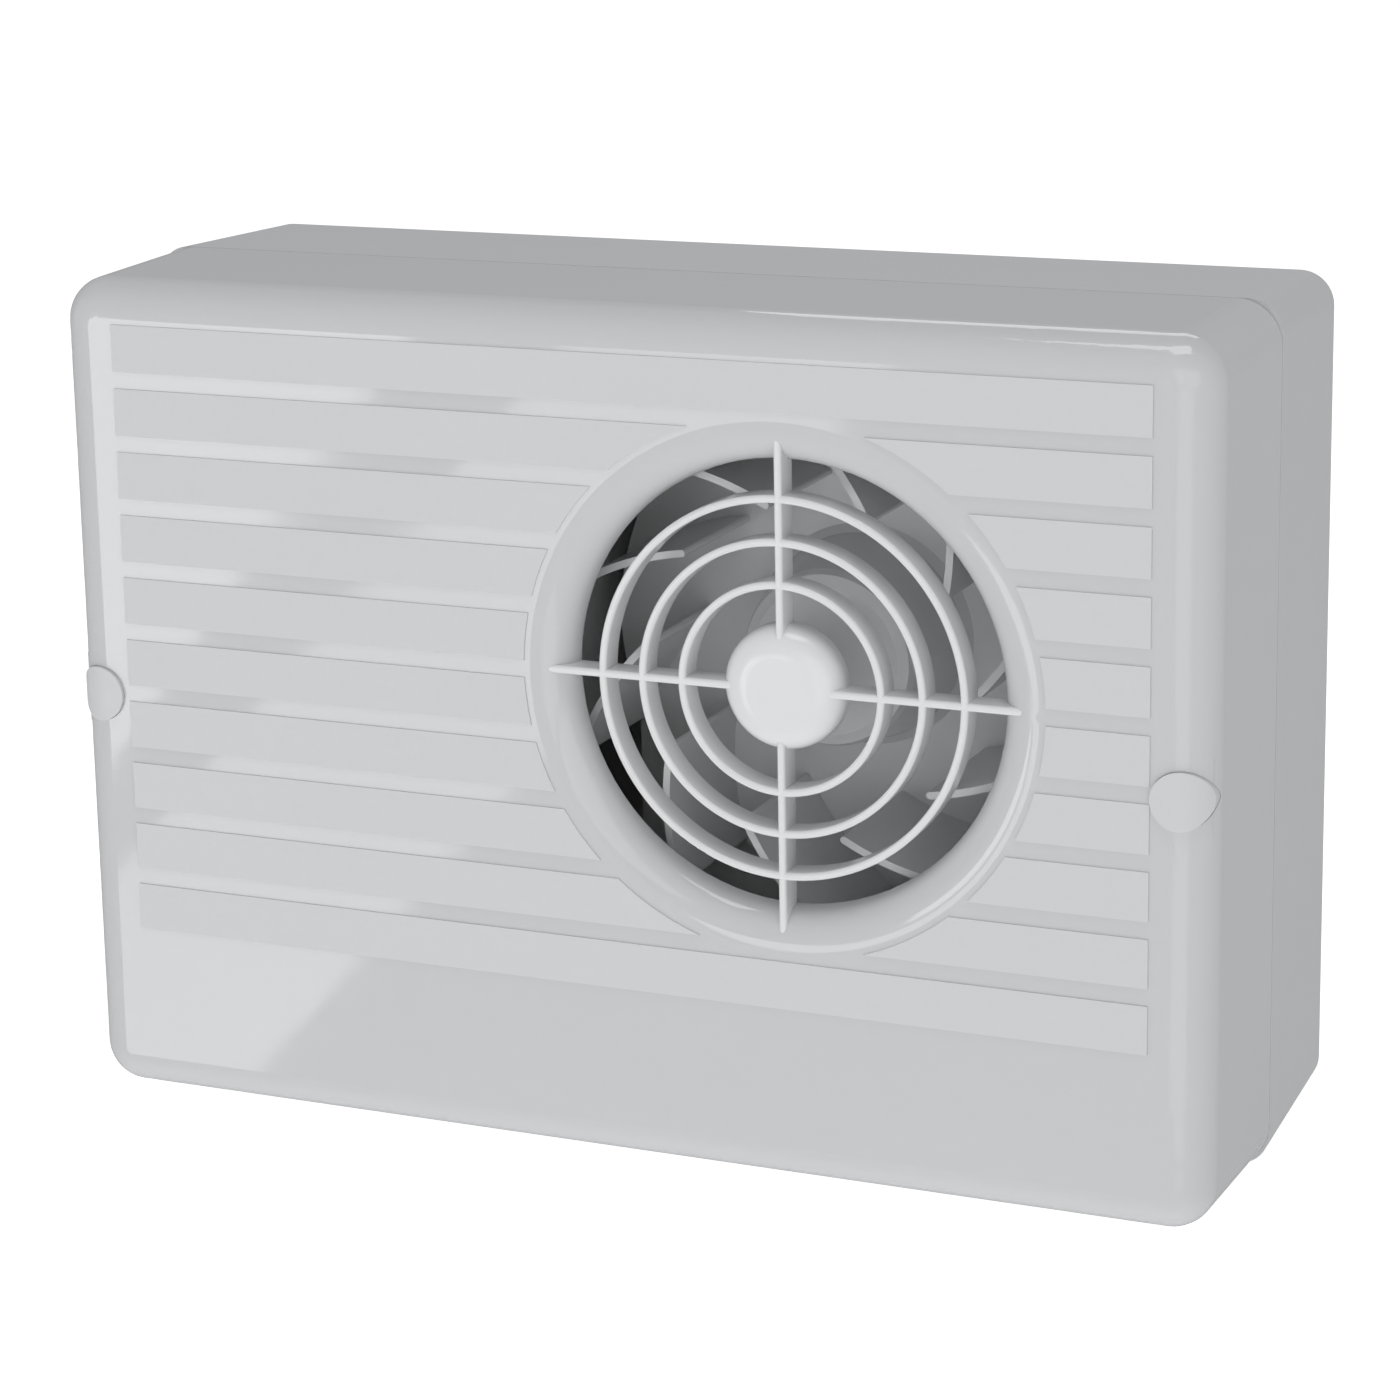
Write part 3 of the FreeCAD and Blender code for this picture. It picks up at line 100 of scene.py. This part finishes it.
# %% [markdown]
# ## The floor and the backdrop
#
# The fan is shown on plain white. A large pale sheet under it serves as the floor. The backdrop is
# the world itself: the camera sees it as pure white, while the surfaces are lit by a softer grey,
# so that white plastic keeps its shape instead of washing out. A Light Path node tells the two
# kinds of ray apart. The floor bounces soft light up, but it neither shows in the polished plastic
# nor stops the low lamps.

# %% Lay the floor
FLOOR_SIDE = 14.0
FLOOR_GAP = 0.0004
FLOOR_GLOW = 0.46
FLOOR_GLOW_SEEN = 0.70


def select_none():
    bpy.ops.object.select_all(action="DESELECT")


select_none()
bpy.ops.mesh.primitive_plane_add(size=FLOOR_SIDE, location=(0.08, 0.0, cad_low.z - FLOOR_GAP))
floor = bpy.context.object
floor.name = "studio_floor"
floor.visible_glossy = False
floor.visible_shadow = False
floor_paint = bpy.data.materials.new("floor_paint")
floor_paint.use_nodes = True
floor_shader = floor_paint.node_tree.nodes["Principled BSDF"]
floor_shader.inputs["Base Color"].default_value = (0.86, 0.86, 0.86, 1)
floor_shader.inputs["Roughness"].default_value = 0.9
floor_shader.inputs["Emission Color"].default_value = (1, 1, 1, 1)
floor_path = floor_paint.node_tree.nodes.new("ShaderNodeLightPath")
floor_glow = floor_paint.node_tree.nodes.new("ShaderNodeMapRange")
floor_glow.inputs["To Min"].default_value = FLOOR_GLOW
floor_glow.inputs["To Max"].default_value = FLOOR_GLOW_SEEN
floor_paint.node_tree.links.new(floor_path.outputs["Is Camera Ray"], floor_glow.inputs["Value"])
floor_paint.node_tree.links.new(floor_glow.outputs["Result"], floor_shader.inputs["Emission Strength"])
floor.data.materials.append(floor_paint)

# %% Light the world
BACKDROP_WHITE = 1.0
AMBIENT_GREY = 0.36

world = bpy.data.worlds.new("studio_world")
bpy.context.scene.world = world
world.use_nodes = True
links = world.node_tree.links
world_nodes = world.node_tree.nodes
seen = world_nodes["Background"]
seen.inputs["Color"].default_value = (1, 1, 1, 1)
seen.inputs["Strength"].default_value = BACKDROP_WHITE
ambient = world_nodes.new("ShaderNodeBackground")
ambient.inputs["Color"].default_value = (0.97, 0.985, 1.0, 1)
ambient.inputs["Strength"].default_value = AMBIENT_GREY
chooser = world_nodes.new("ShaderNodeMixShader")
path = world_nodes.new("ShaderNodeLightPath")
links.new(path.outputs["Is Camera Ray"], chooser.inputs["Fac"])
links.new(ambient.outputs["Background"], chooser.inputs[1])
links.new(seen.outputs["Background"], chooser.inputs[2])
links.new(chooser.outputs["Shader"], world_nodes["World Output"].inputs["Surface"])
bpy.context.scene.view_settings.view_transform = "Standard"
print("floor at z =", round(cad_low.z, 4))

# %% [markdown]
# ## The lamps
#
# Glossy plastic shows the lamps as much as it shows itself. A broad softbox in front makes the
# front the brightest side, one hangs above, and weak ones light the sides and the back. Two strip
# lamps stand low on the left, leaning. Their mirror images fall on the left part of the front and
# show which parts of it are polished. Each strip lamp is placed by the spot on the front where its
# image should be: the camera is mirrored in the front plane, and a line from there through the
# spot leads to the lamp. Area lamps are used because their size sets how soft the shadows are.

# %% Hang the lamps
FAN_MIDDLE = Vector((0.084, -0.06, 0.045))
STRIP_LAMP_Y = -1.70


def area_lamp(name, place, wide, tall, watts, turn):
    """A rectangular area lamp at a place, turned by a quaternion."""
    lamp_data = bpy.data.lights.new(name, "AREA")
    lamp_data.shape = "RECTANGLE"
    lamp_data.size = wide
    lamp_data.size_y = tall
    lamp_data.energy = watts
    lamp = bpy.data.objects.new(name, lamp_data)
    bpy.context.scene.collection.objects.link(lamp)
    lamp.location = place
    lamp.rotation_mode = "QUATERNION"
    lamp.rotation_quaternion = turn
    return lamp


def softbox(name, place, wide, tall, watts):
    """An area lamp that faces the fan."""
    turn = (FAN_MIDDLE - Vector(place)).to_track_quat("-Z", "Y")
    return area_lamp(name, place, wide, tall, watts, turn)


def leaning_strip(name, image_x, image_z, wide, tall, watts, lean):
    """A strip lamp whose mirror image in the front falls on a spot, leaning to the right."""
    front_y = cad_low.y
    mirrored = Vector((CAMERA_PLACE.x, 2 * front_y - CAMERA_PLACE.y, CAMERA_PLACE.z))
    ray = Vector((image_x, front_y, image_z)) - mirrored
    place = mirrored + ray * ((STRIP_LAMP_Y - mirrored.y) / ray.y)
    facing = Vector((0, 1, 0)).to_track_quat("-Z", "Y")
    return area_lamp(name, place, wide, tall, watts, Quaternion((0, 1, 0), math.radians(lean)) @ facing)


softbox("front_softbox", (0.95, -1.80, 0.45), 2.2, 1.1, 7.0)
softbox("top_softbox", (0.25, -0.40, 1.60), 1.0, 0.7, 7.4)
softbox("left_softbox", (-1.50, -0.40, 0.40), 0.5, 1.1, 0.5)
softbox("back_softbox", (-0.10, 1.20, 1.25), 0.9, 0.5, 2.4)
softbox("low_softbox", (0.60, -1.50, -0.35), 1.0, 0.5, 1.3)
leaning_strip("long_strip", 0.045, 0.062, 0.18, 1.10, 1.5, 42)
leaning_strip("short_strip", -0.046, 0.132, 0.34, 0.58, 2.2, 38)
print("five softboxes and two strip lamps")

# %% [markdown]
# ## Building blocks for finishes
#
# A finish is more than a colour. Moulded plastic has a very fine grain and slow changes of shade,
# and drawn metal has fine lines along one direction. Each of these effects is a node group: a
# small machine with named inputs and outputs that is built once and used in many materials, each
# with its own settings. The groups put out a colour, a roughness and a height, and the shader
# itself stays in the material.

# %% Helpers for node trees


def new_group(name, inputs, outputs):
    """An empty shader group. Inputs map a name to its kind and value, outputs to a kind."""
    group = bpy.data.node_groups.new(name, "ShaderNodeTree")
    for label, (kind, value) in inputs.items():
        socket = group.interface.new_socket(label, in_out="INPUT", socket_type=kind)
        socket.default_value = value
    for label, kind in outputs.items():
        group.interface.new_socket(label, in_out="OUTPUT", socket_type=kind)
    return group, group.nodes.new("NodeGroupInput").outputs, group.nodes.new("NodeGroupOutput").inputs


def feed(tree, socket, value):
    """Links a socket to another node, or sets it to a plain value."""
    if isinstance(value, bpy.types.NodeSocket):
        tree.links.new(value, socket)
    else:
        socket.default_value = value


def worked(tree, operation, *values):
    """A Math node and its result."""
    node = tree.nodes.new("ShaderNodeMath")
    node.operation = operation
    for socket, value in zip(node.inputs, values):
        feed(tree, socket, value)
    return node.outputs["Value"]


def noise(tree, scale, detail=2.0, stretch=(1.0, 1.0, 1.0)):
    """Noise on the object's own coordinates, stretched if asked."""
    place = tree.nodes.new("ShaderNodeTexCoord").outputs["Object"]
    mapping = tree.nodes.new("ShaderNodeMapping")
    tree.links.new(place, mapping.inputs["Vector"])
    feed(tree, mapping.inputs["Scale"], stretch)
    texture = tree.nodes.new("ShaderNodeTexNoise")
    tree.links.new(mapping.outputs["Vector"], texture.inputs["Vector"])
    feed(tree, texture.inputs["Scale"], scale)
    texture.inputs["Detail"].default_value = detail
    return texture.outputs["Fac"]


def shaded(tree, colour, factor):
    """A colour multiplied by a grey factor."""
    mix = tree.nodes.new("ShaderNodeMix")
    mix.data_type = "RGBA"
    mix.blend_type = "MULTIPLY"
    mix.inputs["Factor"].default_value = 1.0
    feed(tree, mix.inputs["A"], colour)
    grey = tree.nodes.new("ShaderNodeCombineColor")
    for channel in grey.inputs:
        feed(tree, channel, factor)
    tree.links.new(grey.outputs["Color"], mix.inputs["B"])
    return mix.outputs["Result"]


FINISH_OUTPUTS = {"Color": "NodeSocketColor", "Roughness": "NodeSocketFloat", "Height": "NodeSocketFloat"}

# %% [markdown]
# ## Moulded plastic
#
# A steel mould leaves its own surface on the plastic: a grain of a fraction of a millimetre, a
# slight orange-peel swell from the cooling, and a faint cloudiness in the shade. The group below
# makes all three from noise. Its Grain Depth is near zero for polished mouldings and larger for
# spark-eroded, matt ones.

# %% The moulded skin group
skin, skin_in, skin_out = new_group("moulded_skin", {
    "Color": ("NodeSocketColor", (0.6, 0.6, 0.6, 1)),
    "Roughness": ("NodeSocketFloat", 0.3),
    "Grain Scale": ("NodeSocketFloat", 2600.0),
    "Grain Depth": ("NodeSocketFloat", 0.3),
    "Swell": ("NodeSocketFloat", 0.3),
    "Clouding": ("NodeSocketFloat", 0.03),
}, FINISH_OUTPUTS)
grain = noise(skin, skin_in["Grain Scale"], 3.0)
cloud = noise(skin, 16.0, 3.0)
peel = noise(skin, 130.0, 1.0)
dimming = worked(skin, "SUBTRACT", 1.0, worked(skin, "MULTIPLY", cloud, skin_in["Clouding"]))
skin.links.new(shaded(skin, skin_in["Color"], dimming), skin_out["Color"])
scatter = worked(skin, "MULTIPLY", worked(skin, "SUBTRACT", cloud, 0.5), 0.10)
skin.links.new(worked(skin, "ADD", skin_in["Roughness"], scatter), skin_out["Roughness"])
bumps = worked(skin, "MULTIPLY", grain, skin_in["Grain Depth"])
swell = worked(skin, "MULTIPLY", peel, skin_in["Swell"])
skin.links.new(worked(skin, "ADD", bumps, swell), skin_out["Height"])

# %% [markdown]
# ## Drawn and ground metal
#
# Wire, shafts and pressed strips carry fine lines in the direction they were worked. Noise that is
# squeezed in one direction gives such lines. A second, softer noise makes the plating uneven.

# %% The drawn metal group
drawn, drawn_in, drawn_out = new_group("drawn_metal", {
    "Color": ("NodeSocketColor", (0.6, 0.6, 0.6, 1)),
    "Roughness": ("NodeSocketFloat", 0.3),
    "Stretch": ("NodeSocketVector", (1.0, 1.0, 1.0)),
    "Line Depth": ("NodeSocketFloat", 0.5),
}, FINISH_OUTPUTS)
lines = noise(drawn, 1400.0, 2.0, drawn_in["Stretch"])
patches = noise(drawn, 190.0, 2.0)
tone = worked(drawn, "ADD", 0.82, worked(drawn, "MULTIPLY", patches, 0.34))
drawn.links.new(shaded(drawn, drawn_in["Color"], tone), drawn_out["Color"])
spread = worked(drawn, "MULTIPLY", worked(drawn, "SUBTRACT", lines, 0.5), 0.30)
drawn.links.new(worked(drawn, "ADD", drawn_in["Roughness"], spread), drawn_out["Roughness"])
drawn.links.new(worked(drawn, "MULTIPLY", lines, drawn_in["Line Depth"]), drawn_out["Height"])

# %% [markdown]
# ## Stacked sheets
#
# The motor's core is a stack of thin steel sheets. At arm's length it reads as fine parallel
# stripes. The group turns the distance along an axis into a row of round ridges, one for each
# sheet.

# %% The ridges group
ridges, ridges_in, ridges_out = new_group("ridges", {
    "Axis": ("NodeSocketVector", (0.0, 1.0, 0.0)),
    "Pitch": ("NodeSocketFloat", 0.0005),
}, {"Ridge": "NodeSocketFloat", "Groove": "NodeSocketFloat"})
along = ridges.nodes.new("ShaderNodeVectorMath")
along.operation = "DOT_PRODUCT"
ridge_place = ridges.nodes.new("ShaderNodeTexCoord").outputs["Object"]
ridges.links.new(ridge_place, along.inputs[0])
ridges.links.new(ridges_in["Axis"], along.inputs[1])
count = worked(ridges, "DIVIDE", along.outputs["Value"], ridges_in["Pitch"])
across = worked(ridges, "MULTIPLY", worked(ridges, "PINGPONG", count, 0.5), 2.0)
ridge = worked(ridges, "SINE", worked(ridges, "MULTIPLY", across, math.pi / 2))
ridges.links.new(ridge, ridges_out["Ridge"])
ridges.links.new(worked(ridges, "SUBTRACT", 1.0, ridge), ridges_out["Groove"])
print("three effect groups")

# %% [markdown]
# ## From groups to materials
#
# Each material is one Principled shader, one effect group, and a Bump node that turns the group's
# height into a normal. The distance of the bump is the real height of the relief, in metres: a few
# hundredths of a millimetre for a matt grain.

# %% Material makers


def start_material(name, group, settings):
    """A material with its shader and one effect group with its values set."""
    material = bpy.data.materials.new(name)
    material.use_nodes = True
    tree = material.node_tree
    effect = tree.nodes.new("ShaderNodeGroup")
    effect.node_tree = group
    for label, value in settings.items():
        effect.inputs[label].default_value = value
    return material, tree, tree.nodes["Principled BSDF"], effect


def relief(tree, shader, height, depth):
    """Bumps the shader's surface by a height that is worth a depth in metres."""
    bump = tree.nodes.new("ShaderNodeBump")
    bump.inputs["Strength"].default_value = 1.0
    bump.inputs["Distance"].default_value = depth
    tree.links.new(height, bump.inputs["Height"])
    tree.links.new(bump.outputs["Normal"], shader.inputs["Normal"])


def plastic(name, colour, roughness, grain_depth=0.3, swell=0.25, clouding=0.03, grain_scale=2600.0):
    material, tree, shader, effect = start_material(name, skin, {
        "Color": (*colour, 1), "Roughness": roughness, "Grain Depth": grain_depth, "Swell": swell,
        "Clouding": clouding, "Grain Scale": grain_scale})
    tree.links.new(effect.outputs["Color"], shader.inputs["Base Color"])
    tree.links.new(effect.outputs["Roughness"], shader.inputs["Roughness"])
    relief(tree, shader, effect.outputs["Height"], 0.00003)
    shader.inputs["IOR"].default_value = 1.5
    return material


def metal(name, colour, roughness, stretch=(1.0, 1.0, 1.0), depth=0.5):
    material, tree, shader, effect = start_material(name, drawn, {
        "Color": (*colour, 1), "Roughness": roughness, "Stretch": stretch, "Line Depth": depth})
    tree.links.new(effect.outputs["Color"], shader.inputs["Base Color"])
    tree.links.new(effect.outputs["Roughness"], shader.inputs["Roughness"])
    relief(tree, shader, effect.outputs["Height"], 0.00002)
    shader.inputs["Metallic"].default_value = 1.0
    return material


def dress(material, *names):
    """Gives CAD nodes a material in place of the plain one they came with."""
    for name in names:
        slots = nodes[name].data.materials
        slots.clear()
        slots.append(material)


# %% [markdown]
# ## The front cover
#
# The cover is one white moulding with two finishes. Its frame, the narrow channels and the
# bell-mouth are polished; the ten raised strips are matt. The strips stand three tenths of a
# millimetre proud, so the material can tell them apart by depth alone: a point nearer to the room
# than half that step belongs to a strip. The same test drives the roughness and the grain.

# %% Cover material
WHITE = (0.597, 0.602, 0.61)
MATT_WHITE = (0.632, 0.637, 0.645)
STRIP_STEP = 0.0003
CAP_PROUD = 0.001
cover_low, cover_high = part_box("front_cover")
strip_depth = cover_low.y + STRIP_STEP / 2

cover_paint, cover_tree, cover_shader, polished = start_material("cover_white", skin, {
    "Color": (*WHITE, 1), "Roughness": 0.05, "Grain Depth": 0.0, "Swell": 0.10, "Clouding": 0.015})
matt = cover_tree.nodes.new("ShaderNodeGroup")
matt.node_tree = skin
for label, value in {"Color": (*MATT_WHITE, 1), "Roughness": 0.50, "Grain Depth": 1.0, "Swell": 0.1,
                     "Clouding": 0.02, "Grain Scale": 3000.0}.items():
    matt.inputs[label].default_value = value
cover_place = cover_tree.nodes.new("ShaderNodeSeparateXYZ")
cover_tree.links.new(cover_tree.nodes.new("ShaderNodeTexCoord").outputs["Object"], cover_place.inputs[0])
on_strip = worked(cover_tree, "LESS_THAN", cover_place.outputs["Y"], strip_depth)


def between(tree, kind, factor, first, second):
    """A Mix node of a kind, from the first value to the second."""
    mix = tree.nodes.new("ShaderNodeMix")
    mix.data_type = kind
    sockets = [socket for socket in mix.inputs if socket.enabled]
    tree.links.new(factor, sockets[0])
    tree.links.new(first, sockets[1])
    tree.links.new(second, sockets[2])
    return next(socket for socket in mix.outputs if socket.enabled)


cover_tree.links.new(between(cover_tree, "RGBA", on_strip, polished.outputs["Color"], matt.outputs["Color"]),
                     cover_shader.inputs["Base Color"])
cover_tree.links.new(between(cover_tree, "FLOAT", on_strip, polished.outputs["Roughness"],
                             matt.outputs["Roughness"]), cover_shader.inputs["Roughness"])
relief(cover_tree, cover_shader, between(cover_tree, "FLOAT", on_strip, polished.outputs["Height"],
                                         matt.outputs["Height"]), 0.00003)
dress(cover_paint, "front_cover")
print("strips start at y =", round(strip_depth, 5))

# %% [markdown]
# ## The other mouldings
# The rear tray and the spigot are satin. The grille is as polished as the cover. The screw caps are
# matt. Inside, the scroll is left as it comes from a plain mould, and the impeller is glossy. The
# grille, the scroll and the impeller are painted lighter than their plastic and lighter than the
# cover's white: this is painted light, standing in for the light the thin plastic lets into the fan. The screw
# caps are
# matt. Inside, the scroll is left as it comes from a plain mould, and the impeller is bright.

# %% Dress the mouldings
dress(plastic("tray_white", WHITE, 0.30, 0.25, 0.3, 0.03), "rear_housing")
# Painted light: the grille, scroll and impeller colours are lifted above the cover's white to stand in for
# light that reaches the fan's inside through the plastic.
dress(plastic("grille_white", (0.76, 0.765, 0.77), 0.16, 0.0, 0.25, 0.02), "inlet_grille")
dress(plastic("cap_white", MATT_WHITE, 0.42, 0.7, 0.1, 0.02), "screw_cap_left", "screw_cap_right")
dress(plastic("scroll_plastic", (0.78, 0.785, 0.79), 0.45, 0.8, 0.3, 0.06), "scroll_casing", "scroll_plate")
dress(plastic("impeller_plastic", (0.74, 0.745, 0.75), 0.20, 0.05, 0.4, 0.04), "impeller")
dress(plastic("spigot_plastic", (0.60, 0.605, 0.61), 0.36, 0.5, 0.3, 0.04), "outlet_spigot")
dress(plastic("flap_plastic", (0.56, 0.565, 0.57), 0.34, 0.4, 0.5, 0.05),
      "shutter_flap_left", "shutter_flap_right")
dress(plastic("bobbin_nylon", (0.66, 0.63, 0.54), 0.42, 0.6, 0.3, 0.06), "coil_bobbin")
dress(plastic("washer_nylon", (0.72, 0.70, 0.64), 0.40, 0.4, 0.2, 0.04), "thrust_washers")
dress(plastic("terminal_nylon", (0.70, 0.70, 0.68), 0.38, 0.5, 0.3, 0.04), "terminal_block")
dress(plastic("clamp_nylon", (0.03, 0.03, 0.03), 0.42, 0.7, 0.3, 0.10), "cable_clamp")
dress(plastic("black_rubber", (0.022, 0.022, 0.023), 0.68, 1.0, 0.3, 0.20, 1500.0),
      "rubber_mounts", "cable_grommet")
dress(plastic("lead_brown", (0.12, 0.045, 0.02), 0.36, 0.4, 0.5, 0.10), "lead_live")
dress(plastic("lead_blue", (0.02, 0.08, 0.36), 0.36, 0.4, 0.5, 0.10), "lead_neutral")

# %% [markdown]
# ## Steel, copper and bronze
#
# The screws are zinc plated and slightly uneven. The shaft and the shutter pin are ground, so their
# lines run round them. The bearings are sintered bronze, which is dull and speckled, and the
# shading rings are bare copper.

# %% Dress the metal parts
ROUND_THE_AXIS = (1.0, 0.05, 1.0)
dress(metal("zinc_steel", (0.62, 0.62, 0.59), 0.34, (1.0, 1.0, 1.0), 0.7), "cover_screws", "scroll_screws",
      "motor_screws", "motor_nuts", "mount_screws", "block_screw", "clamp_screws")
dress(metal("spring_steel", (0.46, 0.46, 0.46), 0.28), "impeller_clip", "shutter_spring")
dress(metal("ground_steel", (0.62, 0.62, 0.62), 0.20, ROUND_THE_AXIS, 0.4), "shaft", "shutter_pin")
dress(metal("bracket_steel", (0.55, 0.55, 0.51), 0.38, (0.08, 1.0, 1.0), 0.5), "front_bracket", "rear_bracket")
dress(metal("bare_copper", (0.72, 0.34, 0.20), 0.30, (1.0, 1.0, 0.1), 0.4), "shading_rings")
dress(metal("bearing_bronze", (0.46, 0.31, 0.14), 0.52, (1.0, 1.0, 1.0), 1.0), "front_bearing", "rear_bearing")
dress(metal("screw_brass", (0.68, 0.50, 0.20), 0.30), "terminal_screws")

# %% [markdown]
# ## The core, the rotor and the coil
#
# The core's sheets are half a millimetre thick and lie flat against the wall, so their ridges
# follow Y. The rotor has the same sheets between two cast rings. The coil needs no ridges, because
# its turns are made one by one in the next cell: its copper shines through a clear enamel, which
# is the shader's coat.

# %% Dress the motor


def striped(name, colour, dark, roughness, axis, pitch, metallic, depth):
    """A material of parallel ridges, lit on their crowns and dark in their grooves."""
    material, tree, shader, effect = start_material(name, ridges, {"Axis": axis, "Pitch": pitch})
    tone = tree.nodes.new("ShaderNodeMix")
    tone.data_type = "RGBA"
    tone.inputs["A"].default_value = (*colour, 1)
    tone.inputs["B"].default_value = (*dark, 1)
    tree.links.new(worked(tree, "POWER", effect.outputs["Groove"], 2.0), tone.inputs["Factor"])
    tree.links.new(tone.outputs["Result"], shader.inputs["Base Color"])
    blotch = worked(tree, "MULTIPLY", noise(tree, 260.0, 2.0), 0.18)
    tree.links.new(worked(tree, "ADD", roughness - 0.09, blotch), shader.inputs["Roughness"])
    relief(tree, shader, effect.outputs["Ridge"], depth)
    shader.inputs["Metallic"].default_value = metallic
    return material


dress(striped("core_steel", (0.26, 0.27, 0.28), (0.05, 0.05, 0.055), 0.42, (0, 1, 0), 0.0005, 1.0, 0.00006),
      "stator_core")
dress(striped("rotor_metal", (0.50, 0.50, 0.49), (0.16, 0.16, 0.16), 0.40, (0, 1, 0), 0.0005, 1.0, 0.00005),
      "rotor")
copper = metal("enamelled_copper", (0.52, 0.19, 0.07), 0.28, (1.0, 0.2, 0.2), 0.3)
copper.node_tree.nodes["Principled BSDF"].inputs["Coat Weight"].default_value = 0.6
dress(copper, "coil_winding")
print("every node has a finish")

# %% [markdown]
# ## The coil's turns
#
# A fan motor's coil is hundreds of turns of thin enamelled wire, and the outer layer is what one
# sees. Each turn is a rounded rectangle round the leg of the core. One turn is made by hand: a
# small circle, the wire's section, is extruded along a side, spun round a corner, and so on until
# it meets its start. An Array modifier lays the turns side by side.

# %% Wind the coil
WIRE = 0.00041
WIRE_GAP = 0.00001
WIRE_SIDES = 8
BEND_STEPS = 4
BEND = 0.003 - WIRE / 2
coil_low, coil_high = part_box("coil_winding")
turn_low = coil_low + Vector((WIRE, WIRE, WIRE)) / 2
turn_high = coil_high - Vector((WIRE, WIRE, WIRE)) / 2
turn_count = round((coil_high.x - coil_low.x) / (WIRE + WIRE_GAP))

select_none()
start = (turn_low.x, turn_low.y, turn_low.z + BEND)
bpy.ops.mesh.primitive_circle_add(vertices=WIRE_SIDES, radius=WIRE / 2, location=start)
coil_turns = bpy.context.object
coil_turns.name = "coil_turns"
bpy.ops.object.transform_apply(location=True, rotation=True, scale=True)
bpy.ops.object.mode_set(mode="EDIT")
straight_y = turn_high.y - turn_low.y - 2 * BEND
straight_z = turn_high.z - turn_low.z - 2 * BEND
corners = [(turn_low.y + BEND, turn_high.z - BEND), (turn_high.y - BEND, turn_high.z - BEND),
           (turn_high.y - BEND, turn_low.z + BEND), (turn_low.y + BEND, turn_low.z + BEND)]
sides = [(0, 0, straight_z), (0, straight_y, 0), (0, 0, -straight_z), (0, -straight_y, 0)]
for (corner_y, corner_z), side in zip(corners, sides):
    bpy.ops.mesh.extrude_region_move(TRANSFORM_OT_translate={"value": side})
    bpy.ops.mesh.spin(steps=BEND_STEPS, angle=math.pi / 2, center=(turn_low.x, corner_y, corner_z),
                      axis=(1, 0, 0))
bpy.ops.mesh.select_all(action="SELECT")
bpy.ops.mesh.remove_doubles(threshold=WIRE / 50)
bpy.ops.mesh.normals_make_consistent(inside=False)
bpy.ops.object.mode_set(mode="OBJECT")
row = coil_turns.modifiers.new("row", "ARRAY")
row.count = turn_count
row.use_relative_offset = False
row.use_constant_offset = True
row.constant_offset_displace = ((turn_high.x - turn_low.x) / (turn_count - 1), 0, 0)
bpy.ops.object.modifier_apply(modifier=row.name)
bpy.ops.object.shade_smooth_by_angle(angle=math.radians(40))
coil_turns.data.materials.append(copper)
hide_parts("coil_winding")
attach(coil_turns, "casing")
print(turn_count, "turns,", len(coil_turns.data.polygons), "faces")
